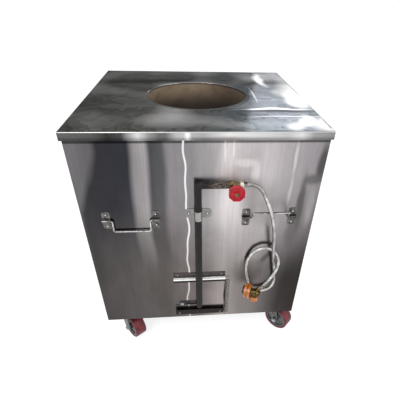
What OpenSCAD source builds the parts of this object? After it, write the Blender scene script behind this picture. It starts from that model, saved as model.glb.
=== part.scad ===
// Trolley tandoor: a clay pot oven in a square stainless cabinet on four swivel castors.
// X runs to the right, Y to the back and Z up, and the floor is at Z = 0.
// Heights named _h are measured from the cabinet's lower edge, unless a comment says otherwise.

/* [Cabinet] */
// Width of the cabinet, side to side
body_w = 700; // [660:10:860]
// Depth of the cabinet, front to back
body_d = 700; // [660:10:860]
// Height from the cabinet's lower edge to the top of its cap
body_h = 720; // [690:10:860]
// Thickness of the stainless sheet
sheet_t = 1.2; // [0.8:0.1:1.6]
// How far the cap stands out past each side of the cabinet
cap_overhang = 6; // [4:1:15]
// Height of the cap's folded skirt
skirt_h = 23; // [15:1:40]
// Radius of the round hole in the cap
mouth_r = 165; // [150:1:190]

/* [Frame] */
// Leg of the angle-iron corner posts
post_leg = 30; // [25:1:38]
// Wall thickness of the posts and rings
angle_t = 3; // [2:0.5:4]
// Leg of the angle-iron rings that carry the pot shelf and the cap
ring_leg = 25; // [22:1:32]
// Thickness of the floor tray
tray_t = 2; // [1.5:0.5:3]
// Height of the floor tray's turned-up edge
tray_lip = 30; // [27:1:33]
// Thickness of the steel shelf under the pot
shelf_t = 3; // [2:0.5:5]
// Height of the shelf's underside
shelf_h = 205; // [205:1:230]

/* [Clay pot] */
// Wall thickness of the clay pot
pot_wall = 32; // [25:1:38]
// Inner radius of the pot at its mouth
pot_mouth_r = 163; // [140:1:164]
// Outer radius of the pot at its widest
pot_belly_r = 262; // [240:1:275]
// Outer radius of the pot at its foot
pot_foot_r = 205; // [180:1:225]
// Thickness of the pot's floor
pot_floor_t = 34; // [28:1:45]
// Radius of the fire hole through the pot's floor and the shelf
fire_hole_r = 90; // [75:1:110]

/* [Burner] */
// Radius of the cast burner head
burner_r = 70; // [60:1:80]
// Height of the burner head
burner_head_h = 46; // [44:1:60]
// Wall thickness of the burner castings
burner_wall = 5; // [4:0.5:7]
// Number of flame ports in the outer circle
burner_ports = 24; // [16:2:30]
// Radius of a flame port
port_r = 2.5; // [1.5:0.5:3]
// Outer radius of the mixing tube
mixing_r = 18; // [17:0.5:20]
// Gap between the gas jet and the mixing tube's bell
jet_gap = 8; // [4:1:15]

/* [Gas pipe] */
// Outer diameter of the gas pipe
pipe_od = 21.3; // [19:0.1:22.5]
// Wall thickness of the gas pipe
pipe_wall = 2.6; // [2:0.1:3.2]
// Gap between the panel and the back of the pipe
pipe_gap = 1.9; // [1.8:0.1:3]
// Place of the riser, left or right of the middle
riser_x = -10; // [-14:1:-6]
// Height of the pipe's upper arm
arm_h = 570; // [550:1:600]
// Length of the upper arm from the riser's middle to the valve
arm_len = 88; // [80:1:95]
// Height of the pipe's lower leg, which turns into the cabinet
leg_h = 79; // [76:1:84]
// How far the lower leg reaches behind the front panel
leg_in = 60; // [40:1:90]

/* [Pipe clamp] */
// Height of the clamp's middle
clamp_h = 470; // [440:1:500]
// Width of the clamp's strap
clamp_strap_w = 32; // [26:1:40]
// Thickness of the clamp's strap
clamp_strap_t = 1.5; // [1:0.1:2.5]
// Reach of each ear from the clamp's middle
clamp_reach = 41; // [38:1:46]
// Distance between the clamp's two rivets
clamp_pitch = 55; // [50:1:58]

/* [Valve] */
// Width across the flats of the valve body's inlet hexagon
valve_flats = 24; // [20:1:24]
// Distance from the pipe's end to the valve's spindle
valve_inlet = 16; // [14:1:20]
// Distance from the valve's spindle to the hose nut
valve_outlet = 15; // [12:1:24]
// Length of the bonnet from the pipe's axis
bonnet_len = 22; // [18:1:28]
// Radius of the bonnet
bonnet_r = 9.5; // [8.5:0.5:11]
// Length of the gland nut
gland_len = 10; // [7:1:14]
// Width across the flats of the gland nut
gland_flats = 17; // [15:1:19]
// Radius of the valve's spindle
spindle_r = 3.2; // [2.8:0.1:4]
// Length of spindle that shows between the gland nut and the knob
spindle_show = 11; // [6:1:16]
// Width across the corners of the octagonal knob
knob_w = 47; // [36:1:50]
// Thickness of the knob
knob_t = 12; // [9:1:16]

/* [Hose] */
// Outer diameter of the braided gas hose
hose_d = 11; // [9:0.5:12]
// Length of the crimped ferrule at each end of the hose
ferrule_len = 10; // [8:1:20]
// Length of the brass nut at each end of the hose
hose_nut_len = 10; // [8:1:15]
// Width across the flats of the hose nuts
hose_nut_flats = 17; // [16:1:22]

/* [Regulator] */
// Radius of the regulator's two flanged discs
disc_r = 26; // [22:1:27]
// Thickness of each disc's rim
disc_t = 8; // [5:0.5:9]
// Width of the groove between the discs
disc_groove = 4; // [2:0.5:5]
// Radius of the black valve block
block_r = 13; // [12:1:16]
// Length of the spout from the block's middle to the hose's nut
spout_len = 20; // [17:1:26]
// Radius of the socket that clicks onto the gas cylinder
socket_r = 11; // [9:0.5:12]
// Wall thickness of the socket
socket_wall = 2.5; // [2:0.5:5]
// Length of the socket
socket_len = 20; // [14:1:24]
// Radius of the regulator's knob
switch_r = 15; // [12:1:18]
// Height of the regulator's knob
switch_h = 6; // [5:1:9]
// Angle between the discs' axis and the panel
regulator_turn = 24; // [10:1:35]

/* [Ash door] */
// Width of the sliding door
door_w = 194; // [184:1:204]
// Thickness of the door sheet
door_t = 1; // [0.8:0.1:1.2]
// Width of the ash opening behind the door
ash_w = 146; // [130:1:150]
// Height of the ash opening
ash_h = 140; // [120:1:142]
// Height of the ash opening's lower edge
ash_bottom_h = 36; // [34:1:40]
// How far the rails stand out from the panel
rail_depth = 12; // [9:1:16]
// Height of each rail's lip
rail_lip = 13; // [9:1:16]
// Height of the top rail's riveted flange
top_flange = 23; // [18:1:28]
// Height of the bottom rail's riveted flange
bottom_flange = 24; // [18:1:28]
// Distance that the door slides open
door_travel = 56; // [40:1:58]
// Depth of the door's upright pull flange
pull_depth = 12; // [8:1:16]
// Width of the pull's riveted flange
pull_w = 15; // [12:1:18]
// Reach of the rails to the left of the riser
rail_reach = 87; // [82:1:92]
// Gap between the ash opening and the top rail's ledge
rail_rise = 28; // [26:1:32]
// How far the pull reaches below the bottom rail's ledge
pull_drop = 21; // [12:1:23]

/* [Handles] */
// Distance of each handle's middle from the cabinet's side
handle_inset = 142; // [130:1:152]
// Height of the handles' pivots
handle_h = 451; // [430:1:480]
// Distance between a handle's two saddles, middle to middle
saddle_pitch = 144; // [130:1:150]
// Diameter of the bail's rod
bail_d = 6; // [5:0.5:7]
// Drop of the bail from its pivot to its bar
bail_drop = 38; // [32:1:42]
// Angle at which the front right bail is left standing, from hanging down
bail_raised = 144; // [120:1:170]
// Width of a saddle's strap
saddle_w = 24; // [18:1:28]
// Thickness of a saddle's strap
saddle_t = 1.5; // [1:0.1:2]
// Height of a saddle, ear to ear
saddle_reach = 60; // [54:1:68]
// Distance between a saddle's two rivets
saddle_rivets = 39; // [36:1:42]
// Radius of a rivet's shank
rivet_r = 2; // [1.5:0.1:2.4]

/* [Castors] */
// Diameter of the castor wheels
wheel_d = 100; // [85:1:110]
// Width of the castor wheels
wheel_w = 44; // [38:1:48]
// Height of the fork and plate above the top of the wheel
castor_head = 25; // [24:1:34]
// Distance by which the wheel trails behind the swivel
trail = 38; // [34:1:42]
// Distance of each swivel from the cabinet's side
castor_inset_x = 60; // [56:1:80]
// Distance of each swivel from the cabinet's front or back
castor_inset_y = 70; // [66:1:80]
// Swivel angle of the front left castor, from pointing forward
swivel_front_left = 38; // [0:1:360]
// Swivel angle of the front right castor
swivel_front_right = 45; // [0:1:360]
// Swivel angle of the rear left castor
swivel_rear_left = -67; // [-360:1:0]
// Swivel angle of the rear right castor
swivel_rear_right = 40; // [0:1:360]
// Radius of the axle bolt
axle_r = 5; // [4:0.5:6]

/* [Hidden] */
$fn = 64;
CORNERS = ["front_left", "front_right", "rear_left", "rear_right"];

// Clearances and margins
cut = 1;
run_fit = 0.05;
part_gap = 0.3;
rivet_fit = 0.1;
weld_gap = 0.02;
bolt_fit = 0.5;

// Levels and faces of the cabinet
base_z = wheel_d + castor_head;
top_z = base_z + body_h;
panel_h = body_h - sheet_t;
inner_w = body_w - 2 * sheet_t;
inner_d = body_d - 2 * sheet_t;

// Reach of the front and rear hardware, which centres the whole part on Y = 0
pipe_r = pipe_od / 2;
pipe_out = pipe_gap + pipe_r;
screw_head = 3.5;
knob_back = pipe_out + bonnet_len + gland_len + spindle_show;
front_reach = knob_back + knob_t + screw_head;
bail_r = bail_d / 2;
bail_out = bail_r + 3;
saddle_bore = bail_r + part_gap;
rear_reach = bail_out + saddle_bore + saddle_t;
front_y = (front_reach - rear_reach - body_d) / 2;
back_y = front_y + body_d;
centre_y = front_y + body_d / 2;

// Handles
handle_x = body_w / 2 - handle_inset;

// Rivets
rivet_head_r = 2.1 * rivet_r;
rivet_head_h = 0.9 * rivet_r;
rivet_tail_h = 1.2;
fill_gap = 3;
fill_fit = 1;

// Mouth of the pot and the space round it
pot_gap = 0.3;
pot_belly_at = 0.42;
pot_neck_r = pot_mouth_r + pot_wall;
pot_bottom_h = shelf_h + shelf_t;
pot_h = panel_h - pot_gap - pot_bottom_h;

// Rails, door and pull of the ash opening
rail_left = riser_x - rail_reach;
door_left = rail_left + 1;
door_right = door_left + door_w;
pull_gap = 1.5;
pull_left = door_right - pull_w;
rail_right = pull_left - pull_gap;
rail_len = rail_right - rail_left;
bottom_ledge_h = ash_bottom_h + sheet_t;
top_ledge_h = ash_bottom_h + ash_h + rail_rise;
door_gap = 0.4;
door_bottom_h = bottom_ledge_h + part_gap;
door_top_h = top_ledge_h - 1;
slot_gap = 1.2;
pull_bottom_h = bottom_ledge_h - pull_drop;
pull_top_h = door_top_h - 14;
ash_left = rail_left + 17;
rivet_inset = 14;
top_rivet_h = top_ledge_h + 14;
low_rivet_h = tray_lip - 7;

// Strap that carries the burner's inlet behind the ash opening
strap_h = 30;
strap_t = 3;
strap_end = 20;
strap_left = ash_left - strap_end;
strap_right = ash_left + ash_w + strap_end;
strap_bolt_h = leg_h - 3;

// M8 bolts and nuts
m8_r = 4;
m8_flats = 13;
m8_head = 5.3;
m8_nut = 6.5;
m8_tip = 2;
strap_bolt_x = ash_left + m8_flats / 2 + 1.5;

// Burner, set behind the gas jet
burner_y = centre_y;
burner_mid_h = leg_h;
burner_bottom_h = burner_mid_h - burner_head_h / 2 + 2;
jet_hex = 8;
jet_len = 20;
mixing_start_y = front_y + leg_in + jet_len + jet_gap;

// Valve
valve_x = riser_x + arm_len + valve_inlet;
outlet_r = 7.5;
spindle_depth = 8;
spindle_end = bonnet_len + gland_len + spindle_show + knob_t;
screw_r = 1.6;
screw_len = 9;
hose_nut_x = valve_x + valve_outlet;
ferrule_r = hose_d / 2 + 2.2;

// Route of the hose: steps to the right, out of the panel and up from the end of its upper ferrule.
// It drops in front of the right-hand bail, turns once through a hanging loop and ends in the
// lower ferrule, whose axis leans by hose_end_lean from level.
hose_start = [hose_nut_x + hose_nut_len + ferrule_len, pipe_out, arm_h];
hose_steps = [
    [0, 0, 0], [12, 0, 0], [23.5, 1, -2.5], [34.5, 3.5, -8], [44, 8.5, -16.5],
    [52, 16.5, -29], [59, 27.5, -43.5], [66.5, 37.5, -62], [74, 45, -86], [80.5, 47, -113],
    [86, 44.5, -140], [90, 40, -166], [93.5, 35, -192], [96.5, 30, -218], [100, 25.5, -244.5],
    [104, 19.5, -269.5], [110, 13.5, -295], [115, 10, -321], [118, 7, -347.5], [123, 3.5, -375],
    [118, 4, -403.5], [103, 3, -421.5], [80, 1, -429.5], [57, -1.5, -424.5], [39, -4, -406],
    [30.5, -3.5, -377.5], [24.5, -2, -349.5], [21, -1.5, -322.5], [22, -1.5, -295.5], [29, -1, -270],
    [43.5, 1, -247], [66.5, 2.5, -234.5], [91, 5, -235.5], [111, 11, -249], [121, 20.5, -269.5],
    [118.5, 30.5, -291.5], [109, 36.5, -313], [96.5, 39, -335.5], [82.9, 41, -355.4], [75, 41, -365.5]
];
hose_end_lean = 52;
hose_steps_per_span = 2;
hose_sides = 8;

// Regulator, at the hose's lower end
hose_end = hose_start + hose_steps[len(hose_steps) - 1];
hose_end_way = [-cos(hose_end_lean), 0, -sin(hose_end_lean)];
regulator_mid = hose_end + (ferrule_len + hose_nut_len + spout_len) * hose_end_way;
disc_core_r = disc_r - 4;
disc_face = disc_groove / 2 + disc_t;
block_offset = disc_face + socket_r + socket_wall + part_gap;
block_end = 14;
spout_r = 8;
cover_boss = 2;
socket_drop = block_r + 2;
switch_stem_r = 4;
switch_stem = 3;

// Castors
plate_t = 3;
plate_w = 85;
plate_d = 100;
plate_hole_x = 60;
plate_hole_y = 80;
race_h = 5.8;
race_r = 27;
race_bore = 20;
fork_plate_t = 4;
fork_plate_r = 30;
kingpin_r = 6;
kingpin_head_r = 10;
kingpin_head_h = 3;
fork_t = 3;
fork_foot_r = 15;
hub_play = 0.3;
fork_half = wheel_w / 2 + 3;
axle_flats = 17;
axle_nut_h = 8;
tyre_t = 8;
tyre_round = 3;
swivels = [swivel_front_left, swivel_front_right, swivel_rear_left, swivel_rear_right];

// Frames of reference

// X to the right, Y up and Z out of the front panel
module on_front(x, h) {
    translate([x, front_y, base_z + h]) rotate([90, 0, 0]) children();
}

// The same on the rear panel, seen from behind
module on_rear(x, h) {
    translate([x, back_y, base_z + h]) rotate([90, 0, 180]) children();
}

// Corner i of the cabinet: 0 and 1 are in front, 1 and 3 on the right
function side_x(i) = i % 2 == 0 ? -1 : 1;

module at_handle(i) {
    if (i < 2) on_front(side_x(i) * handle_x, handle_h) children();
    else on_rear(side_x(i) * handle_x, handle_h) children();
}

// Swivel axis of castor i on the floor
module at_castor(i) {
    x = side_x(i) * (body_w / 2 - castor_inset_x);
    y = i < 2 ? front_y + castor_inset_y : back_y - castor_inset_y;
    translate([x, y, 0]) children();
}

// Shared shapes

// Rectangle with rounded corners, about the origin
module rounded_plan(w, h, r) {
    square([w - 2 * r, h], center = true);
    square([w, h - 2 * r], center = true);
    for (x = [-1, 1], y = [-1, 1])
        translate([x * (w / 2 - r), y * (h / 2 - r)]) circle(r);
}

// Hexagonal bar along Z
module hex_bar(flats, h) {
    cylinder(r = flats / 2 / cos(30), h = h, $fn = 6);
}

// Rivet through a sheet whose outer face is at Z = 0, with its tail at Z = -grip
module rivet(grip, tail = true) {
    dome_r = (rivet_head_r ^ 2 + rivet_head_h ^ 2) / (2 * rivet_head_h);
    intersection() {
        translate([0, 0, rivet_head_h - dome_r]) sphere(dome_r);
        cylinder(r = rivet_head_r, h = rivet_head_h + cut);
    }
    translate([0, 0, -grip]) cylinder(r = rivet_r, h = grip);
    if (tail) translate([0, 0, -grip - rivet_tail_h]) cylinder(r = 1.6 * rivet_r, h = rivet_tail_h);
}

module rivet_hole() {
    translate([0, 0, -2 * fill_gap]) cylinder(r = rivet_r + rivet_fit, h = 4 * fill_gap);
}

// Strap bent over a rod: the strap runs along X, the rod along Y, and Z points out of the panel
module omega_strap(rod_r, rod_out, t, w, reach, pitch, corner_r) {
    difference() {
        intersection() {
            rotate([90, 0, 0]) linear_extrude(w, center = true) difference() {
                union() {
                    translate([0, rod_out]) circle(rod_r + t);
                    translate([-rod_r - t, 0]) square([2 * (rod_r + t), rod_out]);
                    translate([-reach, 0]) square([2 * reach, t]);
                }
                translate([0, rod_out]) circle(rod_r);
                translate([-rod_r, -cut]) square([2 * rod_r, rod_out + cut]);
            }
            linear_extrude(rod_out + rod_r + 2 * t) rounded_plan(2 * reach, w, corner_r);
        }
        for (x = [-1, 1]) translate([x * pitch / 2, 0, 0]) rivet_hole();
    }
}

// Square ring of angle iron inside the panels, with its flat flange on top at top_h
module angle_ring(top_h) {
    translate([0, centre_y, base_z + top_h]) {
        difference() {
            translate([-inner_w / 2, -inner_d / 2, -ring_leg]) cube([inner_w, inner_d, ring_leg]);
            translate([-inner_w / 2 + angle_t, -inner_d / 2 + angle_t, -ring_leg - cut])
                cube([inner_w - 2 * angle_t, inner_d - 2 * angle_t, ring_leg - angle_t + cut]);
            translate([-inner_w / 2 + ring_leg, -inner_d / 2 + ring_leg, -ring_leg - cut])
                cube([inner_w - 2 * ring_leg, inner_d - 2 * ring_leg, ring_leg + 2 * cut]);
        }
    }
}

// Plan of the four corner posts
module post_plan() {
    for (x = [-1, 1], y = [-1, 1]) at_corner(x, y) difference() {
        square(post_leg);
        translate([angle_t, angle_t]) square(post_leg);
    }
}

// Moves a shape drawn from a corner inwards to the corner named by the signs x and y
module at_corner(x, y) {
    translate([x * inner_w / 2, centre_y + y * inner_d / 2])
        mirror([x > 0 ? 1 : 0, 0]) mirror([0, y > 0 ? 1 : 0]) children();
}

// Cabinet

module top_cap() {
    cap_w = body_w + 2 * cap_overhang;
    cap_d = body_d + 2 * cap_overhang;
    color("gainsboro") translate([0, centre_y, top_z]) difference() {
        translate([-cap_w / 2, -cap_d / 2, -skirt_h]) cube([cap_w, cap_d, skirt_h]);
        translate([-cap_w / 2 + sheet_t, -cap_d / 2 + sheet_t, -skirt_h - cut])
            cube([cap_w - 2 * sheet_t, cap_d - 2 * sheet_t, skirt_h - sheet_t + cut]);
        translate([0, 0, -skirt_h]) cylinder(r = mouth_r, h = skirt_h + cut);
    }
}

module flat_panel() {
    translate([-body_w / 2, 0, -sheet_t]) cube([body_w, panel_h, sheet_t]);
}

module saddle_rivet_holes() {
    for (x = [-1, 1], y = [-1, 1])
        translate([x * saddle_pitch / 2, y * saddle_rivets / 2, 0]) rivet_hole();
}

module rail_rivet_holes() {
    for (x = rail_rivet_xs, h = [top_rivet_h, low_rivet_h]) translate([x, h, 0]) rivet_hole();
}

module front_panel() {
    color("silver") difference() {
        on_front(0, 0) flat_panel();
        for (i = [0, 1]) at_handle(i) saddle_rivet_holes();
        on_front(0, 0) rail_rivet_holes();
        for (x = [-1, 1]) on_front(riser_x + x * clamp_pitch / 2, clamp_h) rivet_hole();
        on_front(ash_left, ash_bottom_h) translate([0, 0, -sheet_t - cut])
            cube([ash_w, ash_h, sheet_t + 2 * cut]);
    }
}

module rear_panel() {
    color("silver") difference() {
        on_rear(0, 0) flat_panel();
        for (i = [2, 3]) at_handle(i) saddle_rivet_holes();
    }
}

module side_panel(side) {
    color("silver") translate([side > 0 ? body_w / 2 - sheet_t : -body_w / 2, front_y + sheet_t, base_z])
        cube([sheet_t, inner_d, panel_h]);
}

module castor_bolt_holes() {
    for (i = [0:3]) at_castor(i) for (x = [-1, 1], y = [-1, 1])
        translate([x * plate_hole_x / 2, y * plate_hole_y / 2, base_z - plate_t - cut])
            cylinder(r = m8_r + bolt_fit, h = plate_t + tray_t + 2 * cut);
}

// Floor of the cabinet, with a turned-up edge between the corner posts
module base_tray() {
    color("dimgray") difference() {
        translate([-inner_w / 2, centre_y - inner_d / 2, base_z]) cube([inner_w, inner_d, tray_lip]);
        translate([-inner_w / 2 + tray_t, centre_y - inner_d / 2 + tray_t, base_z + tray_t])
            cube([inner_w - 2 * tray_t, inner_d - 2 * tray_t, tray_lip]);
        translate([0, 0, base_z - cut]) linear_extrude(tray_lip + 2 * cut) post_plan();
        castor_bolt_holes();
        on_front(0, 0) rail_rivet_holes();
    }
}

module frame() {
    color("darkslategray") {
        translate([0, 0, base_z]) linear_extrude(panel_h) post_plan();
        angle_ring(shelf_h);
        angle_ring(panel_h);
    }
}

module pot_shelf() {
    on_ring = 7;
    shelf_w = inner_w - 2 * (ring_leg - on_ring);
    shelf_d = inner_d - 2 * (ring_leg - on_ring);
    color("dimgray") translate([0, centre_y, base_z + shelf_h]) difference() {
        translate([-shelf_w / 2, -shelf_d / 2, 0]) cube([shelf_w, shelf_d, shelf_t]);
        translate([0, 0, -cut]) cylinder(r = fire_hole_r, h = shelf_t + 2 * cut);
    }
}

// Outer radius of the pot at the share t of its height: it swells to the belly and draws in to the neck
function pot_outer_r(t) = t < pot_belly_at
    ? pot_foot_r + (pot_belly_r - pot_foot_r) * sin(90 * t / pot_belly_at)
    : pot_neck_r + (pot_belly_r - pot_neck_r) * cos(90 * (t - pot_belly_at) / (1 - pot_belly_at));
pot_rings = 14;
function pot_outline(offset_r, from, to) =
    [for (i = [0:pot_rings])
        let (t = from + (to - from) * i / pot_rings) [pot_outer_r(t) + offset_r, t * pot_h]];

module clay_pot() {
    floor_share = pot_floor_t / pot_h;
    inside = pot_outline(-pot_wall, floor_share, 1);
    color("peru") translate([0, centre_y, base_z + pot_bottom_h]) rotate_extrude() polygon(concat(
        [[fire_hole_r, 0]],
        pot_outline(0, 0, 1),
        [for (i = [pot_rings:-1:0]) inside[i]],
        [[fire_hole_r, pot_floor_t]]
    ));
}

// Loose heat-proof fill between the pot and the panels
module insulation() {
    fill_h = panel_h - ring_leg - pot_bottom_h - part_gap;
    fill_share = fill_h / pot_h;
    fill_w = inner_w - 2 * fill_gap;
    fill_d = inner_d - 2 * fill_gap;
    color("lightgoldenrodyellow") difference() {
        translate([-fill_w / 2, centre_y - fill_d / 2, base_z + pot_bottom_h]) cube([fill_w, fill_d, fill_h]);
        translate([0, 0, base_z + pot_bottom_h - cut]) linear_extrude(fill_h + 2 * cut)
            for (x = [-1, 1], y = [-1, 1]) at_corner(x, y) square(post_leg + part_gap);
        translate([0, centre_y, base_z + pot_bottom_h]) rotate_extrude() polygon(concat(
            [[0, -cut], [pot_foot_r + fill_fit, -cut]],
            pot_outline(fill_fit, 0, fill_share),
            [[pot_outer_r(fill_share) + fill_fit, fill_h + cut], [0, fill_h + cut]]
        ));
    }
}

// Burner

// Cast drum on three feet, with two circles of flame ports in its top and a socket for the tube
module burner_head() {
    foot_r = 8;
    foot_at = burner_r - 12;
    port_circle = burner_r - burner_wall - 6;
    color("dimgray") translate([riser_x, burner_y, base_z + burner_bottom_h]) difference() {
        union() {
            cylinder(r = burner_r, h = burner_head_h);
            for (a = [30, 150, 270]) rotate(a) translate([foot_at, 0, tray_t - burner_bottom_h])
                cylinder(r = foot_r, h = burner_bottom_h - tray_t + burner_wall);
        }
        translate([0, 0, burner_wall])
            cylinder(r = burner_r - burner_wall, h = burner_head_h - 2 * burner_wall);
        for (i = [0:burner_ports - 1]) rotate(i * 360 / burner_ports)
            translate([port_circle, 0, burner_head_h - burner_wall - cut])
                cylinder(r = port_r, h = burner_wall + 2 * cut, $fn = 24);
        for (i = [0:burner_ports / 2 - 1]) rotate((i + 0.5) * 720 / burner_ports)
            translate([burner_r / 2, 0, burner_head_h - burner_wall - cut])
                cylinder(r = port_r, h = burner_wall + 2 * cut, $fn = 24);
        translate([0, 0, burner_mid_h - burner_bottom_h]) rotate([90, 0, 0])
            cylinder(r = mixing_r + run_fit, h = burner_r + cut);
    }
}

// Tube in which gas and air mix, with a flared bell facing the jet
module mixing_tube() {
    tube_end_y = burner_y - burner_r + 2 * burner_wall;
    tube_len = tube_end_y - mixing_start_y;
    bell_len = 22;
    bell_flare = 8;
    bell_rim = 3;
    wall = 3;
    color("slategray") translate([riser_x, mixing_start_y, base_z + burner_mid_h]) rotate([-90, 0, 0])
        rotate_extrude() polygon([
            [mixing_r + bell_flare, 0], [mixing_r + bell_flare, bell_rim], [mixing_r, bell_len],
            [mixing_r, tube_len], [mixing_r - wall, tube_len], [mixing_r - wall, bell_len],
            [mixing_r + bell_flare - wall, 0]
        ]);
}

// Brass jet screwed into the end of the pipe: a hexagon, a tapered nose and a fine bore
module gas_jet() {
    nose_r = 6;
    tip_r = 2.5;
    color("goldenrod") on_front(riser_x, leg_h) translate([0, 0, -leg_in]) mirror([0, 0, 1]) difference() {
        union() {
            hex_bar(valve_flats, jet_hex);
            rotate_extrude()
                polygon([[0, 0], [nose_r, 0], [nose_r, jet_hex + 4], [tip_r, jet_len], [0, jet_len]]);
        }
        translate([0, 0, -cut]) cylinder(r = nose_r / 2, h = jet_hex + cut);
        cylinder(r = 0.8, h = jet_len + cut, $fn = 16);
    }
}

// Flat bar welded behind the panel, through which the pipe's leg passes
module burner_strap() {
    color("dimgray") on_front(0, 0) difference() {
        translate([strap_left, leg_h - strap_h / 2, -sheet_t - strap_t])
            cube([strap_right - strap_left, strap_h, strap_t]);
        translate([riser_x, leg_h, -2 * leg_in]) cylinder(r = pipe_r + part_gap, h = 4 * leg_in);
        translate([strap_bolt_x, strap_bolt_h, -2 * leg_in]) cylinder(r = m8_r + bolt_fit, h = 4 * leg_in);
    }
}

// M8 bolt along Z, with its head under a stack of sheets that starts at Z = 0, and its nut on top
module m8_bolt(grip) {
    translate([0, 0, -m8_head]) hex_bar(m8_flats, m8_head);
    cylinder(r = m8_r, h = grip + m8_nut + m8_tip);
    translate([0, 0, grip]) hex_bar(m8_flats, m8_nut);
}

// Bolt through the strap, whose nut shows in the open end of the door's slot
module strap_bolt() {
    color("silver") on_front(strap_bolt_x, strap_bolt_h)
        translate([0, 0, -sheet_t - strap_t]) m8_bolt(strap_t);
}

// Gas pipe

// Block that trims a run to its mitre, which leaves room for a thin weld
module mitre_block() {
    block = 4 * pipe_od;
    translate([-weld_gap, -block / 2, -block / 2]) cube(block);
}

module tube(len) {
    difference() {
        cylinder(r = pipe_r, h = len);
        translate([0, 0, -cut]) cylinder(r = pipe_r - pipe_wall, h = len + 2 * cut);
    }
}

// Three runs of steel pipe, mitred and welded at the corners: riser, upper arm and lower leg
module gas_pipe() {
    color([0.13, 0.12, 0.12]) on_front(riser_x, 0) {
        difference() {
            translate([0, leg_h - pipe_r, pipe_out]) rotate([-90, 0, 0]) tube(arm_h - leg_h + 2 * pipe_r);
            translate([0, arm_h, pipe_out]) rotate([0, 0, 45]) mitre_block();
            translate([0, leg_h, pipe_out]) rotate([45, 0, 0]) rotate([0, 0, -90]) mitre_block();
        }
        difference() {
            translate([-pipe_r, arm_h, pipe_out]) rotate([0, 90, 0]) tube(arm_len + pipe_r);
            translate([0, arm_h, pipe_out]) rotate([0, 0, 225]) mitre_block();
        }
        difference() {
            translate([0, leg_h, -leg_in]) tube(leg_in + pipe_out + pipe_r);
            translate([0, leg_h, pipe_out]) rotate([45, 0, 0]) rotate([0, 0, 90]) mitre_block();
        }
    }
}

module pipe_clamp() {
    color("silver") on_front(riser_x, clamp_h)
        omega_strap(pipe_r + run_fit, pipe_out, clamp_strap_t, clamp_strap_w, clamp_reach, clamp_pitch,
            clamp_strap_w / 2 - 3);
}

module clamp_rivets() {
    color("gainsboro") for (x = [-1, 1])
        on_front(riser_x + x * clamp_pitch / 2, clamp_h) translate([0, 0, clamp_strap_t])
            rivet(clamp_strap_t + sheet_t);
}

// Valve

module at_valve() {
    on_front(valve_x, arm_h) translate([0, 0, pipe_out]) children();
}

// Brass needle valve: inlet hexagon, round waist, threaded outlet and a bonnet towards the front
module valve_body() {
    hex_len = valve_inlet - 3;
    color("goldenrod") at_valve() difference() {
        union() {
            translate([-valve_inlet, 0, 0]) rotate([0, 90, 0]) rotate(30) hex_bar(valve_flats, hex_len);
            translate([-valve_inlet, 0, 0]) rotate([0, 90, 0])
                cylinder(r = bonnet_r, h = valve_inlet + bonnet_r);
            rotate([0, 90, 0]) cylinder(r = outlet_r, h = valve_outlet);
            cylinder(r = bonnet_r, h = bonnet_len);
        }
        translate([0, 0, bonnet_len - spindle_depth])
            cylinder(r = spindle_r + run_fit, h = spindle_depth + cut);
    }
}

module valve_gland() {
    color("darkgoldenrod") at_valve() translate([0, 0, bonnet_len]) difference() {
        union() {
            hex_bar(gland_flats, gland_len - 3);
            cylinder(r = gland_flats / 2 - 1.5, h = gland_len);
        }
        translate([0, 0, -cut]) cylinder(r = spindle_r + run_fit, h = gland_len + 2 * cut);
    }
}

module valve_spindle() {
    start = bonnet_len - spindle_depth + part_gap;
    color("goldenrod") at_valve() difference() {
        translate([0, 0, start]) cylinder(r = spindle_r, h = spindle_end - start);
        translate([0, 0, spindle_end - screw_len - cut]) cylinder(r = screw_r, h = screw_len + 2 * cut);
    }
}

// Octagonal knob with a raised rim, a dished face, a middle boss and a long boss behind
module valve_knob() {
    rim = 4;
    dish = 3;
    boss_r = 7.5;
    color("crimson") at_valve() translate([0, 0, spindle_end - knob_t]) difference() {
        union() {
            rotate(22.5) cylinder(r = knob_w / 2, h = knob_t, $fn = 8);
            translate([0, 0, -spindle_show / 2]) cylinder(r = boss_r, h = spindle_show / 2 + cut);
        }
        translate([0, 0, knob_t - dish]) difference() {
            rotate(22.5) cylinder(r = knob_w / 2 - rim, h = dish + cut, $fn = 8);
            cylinder(r = boss_r, h = dish + cut);
        }
        translate([0, 0, -spindle_show]) cylinder(r = spindle_r + run_fit, h = spindle_show + knob_t + cut);
    }
}

module knob_screw() {
    head_r = 5.2;
    slot_w = 1.4;
    slot_d = 1.4;
    color("gold") at_valve() translate([0, 0, spindle_end]) difference() {
        union() {
            cylinder(r = head_r, h = screw_head);
            translate([0, 0, -screw_len]) cylinder(r = screw_r - run_fit, h = screw_len + cut);
        }
        rotate(35) translate([-head_r - cut, -slot_w / 2, screw_head - slot_d])
            cube([2 * (head_r + cut), slot_w, slot_d + cut]);
    }
}

// Hose and regulator

module ferrule() {
    color("silver") rotate_extrude() polygon([
        [0, 0], [ferrule_r, 0], [ferrule_r, 4], [ferrule_r - 1, 5], [ferrule_r - 1, ferrule_len - 5],
        [ferrule_r, ferrule_len - 4], [ferrule_r, ferrule_len], [0, ferrule_len]
    ]);
}

module union_nut() {
    hex_bar(hose_nut_flats, hose_nut_len - 4);
    cylinder(r = hose_nut_flats / 2 - 0.8, h = hose_nut_len);
}

module hose_nut() {
    color("khaki") on_front(hose_nut_x, arm_h) translate([0, 0, pipe_out]) rotate([0, 90, 0]) union_nut();
}

// Frame at the hose's lower end, with Z along the way the hose runs
module at_hose_end() {
    on_front(hose_end.x, hose_end.z) translate([0, 0, hose_end.y])
        rotate([0, 0, hose_end_lean]) rotate([0, -90, 0]) children();
}

module hose_ferrules() {
    on_front(hose_nut_x + hose_nut_len, arm_h) translate([0, 0, pipe_out]) rotate([0, 90, 0]) ferrule();
    at_hose_end() ferrule();
}

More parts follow.
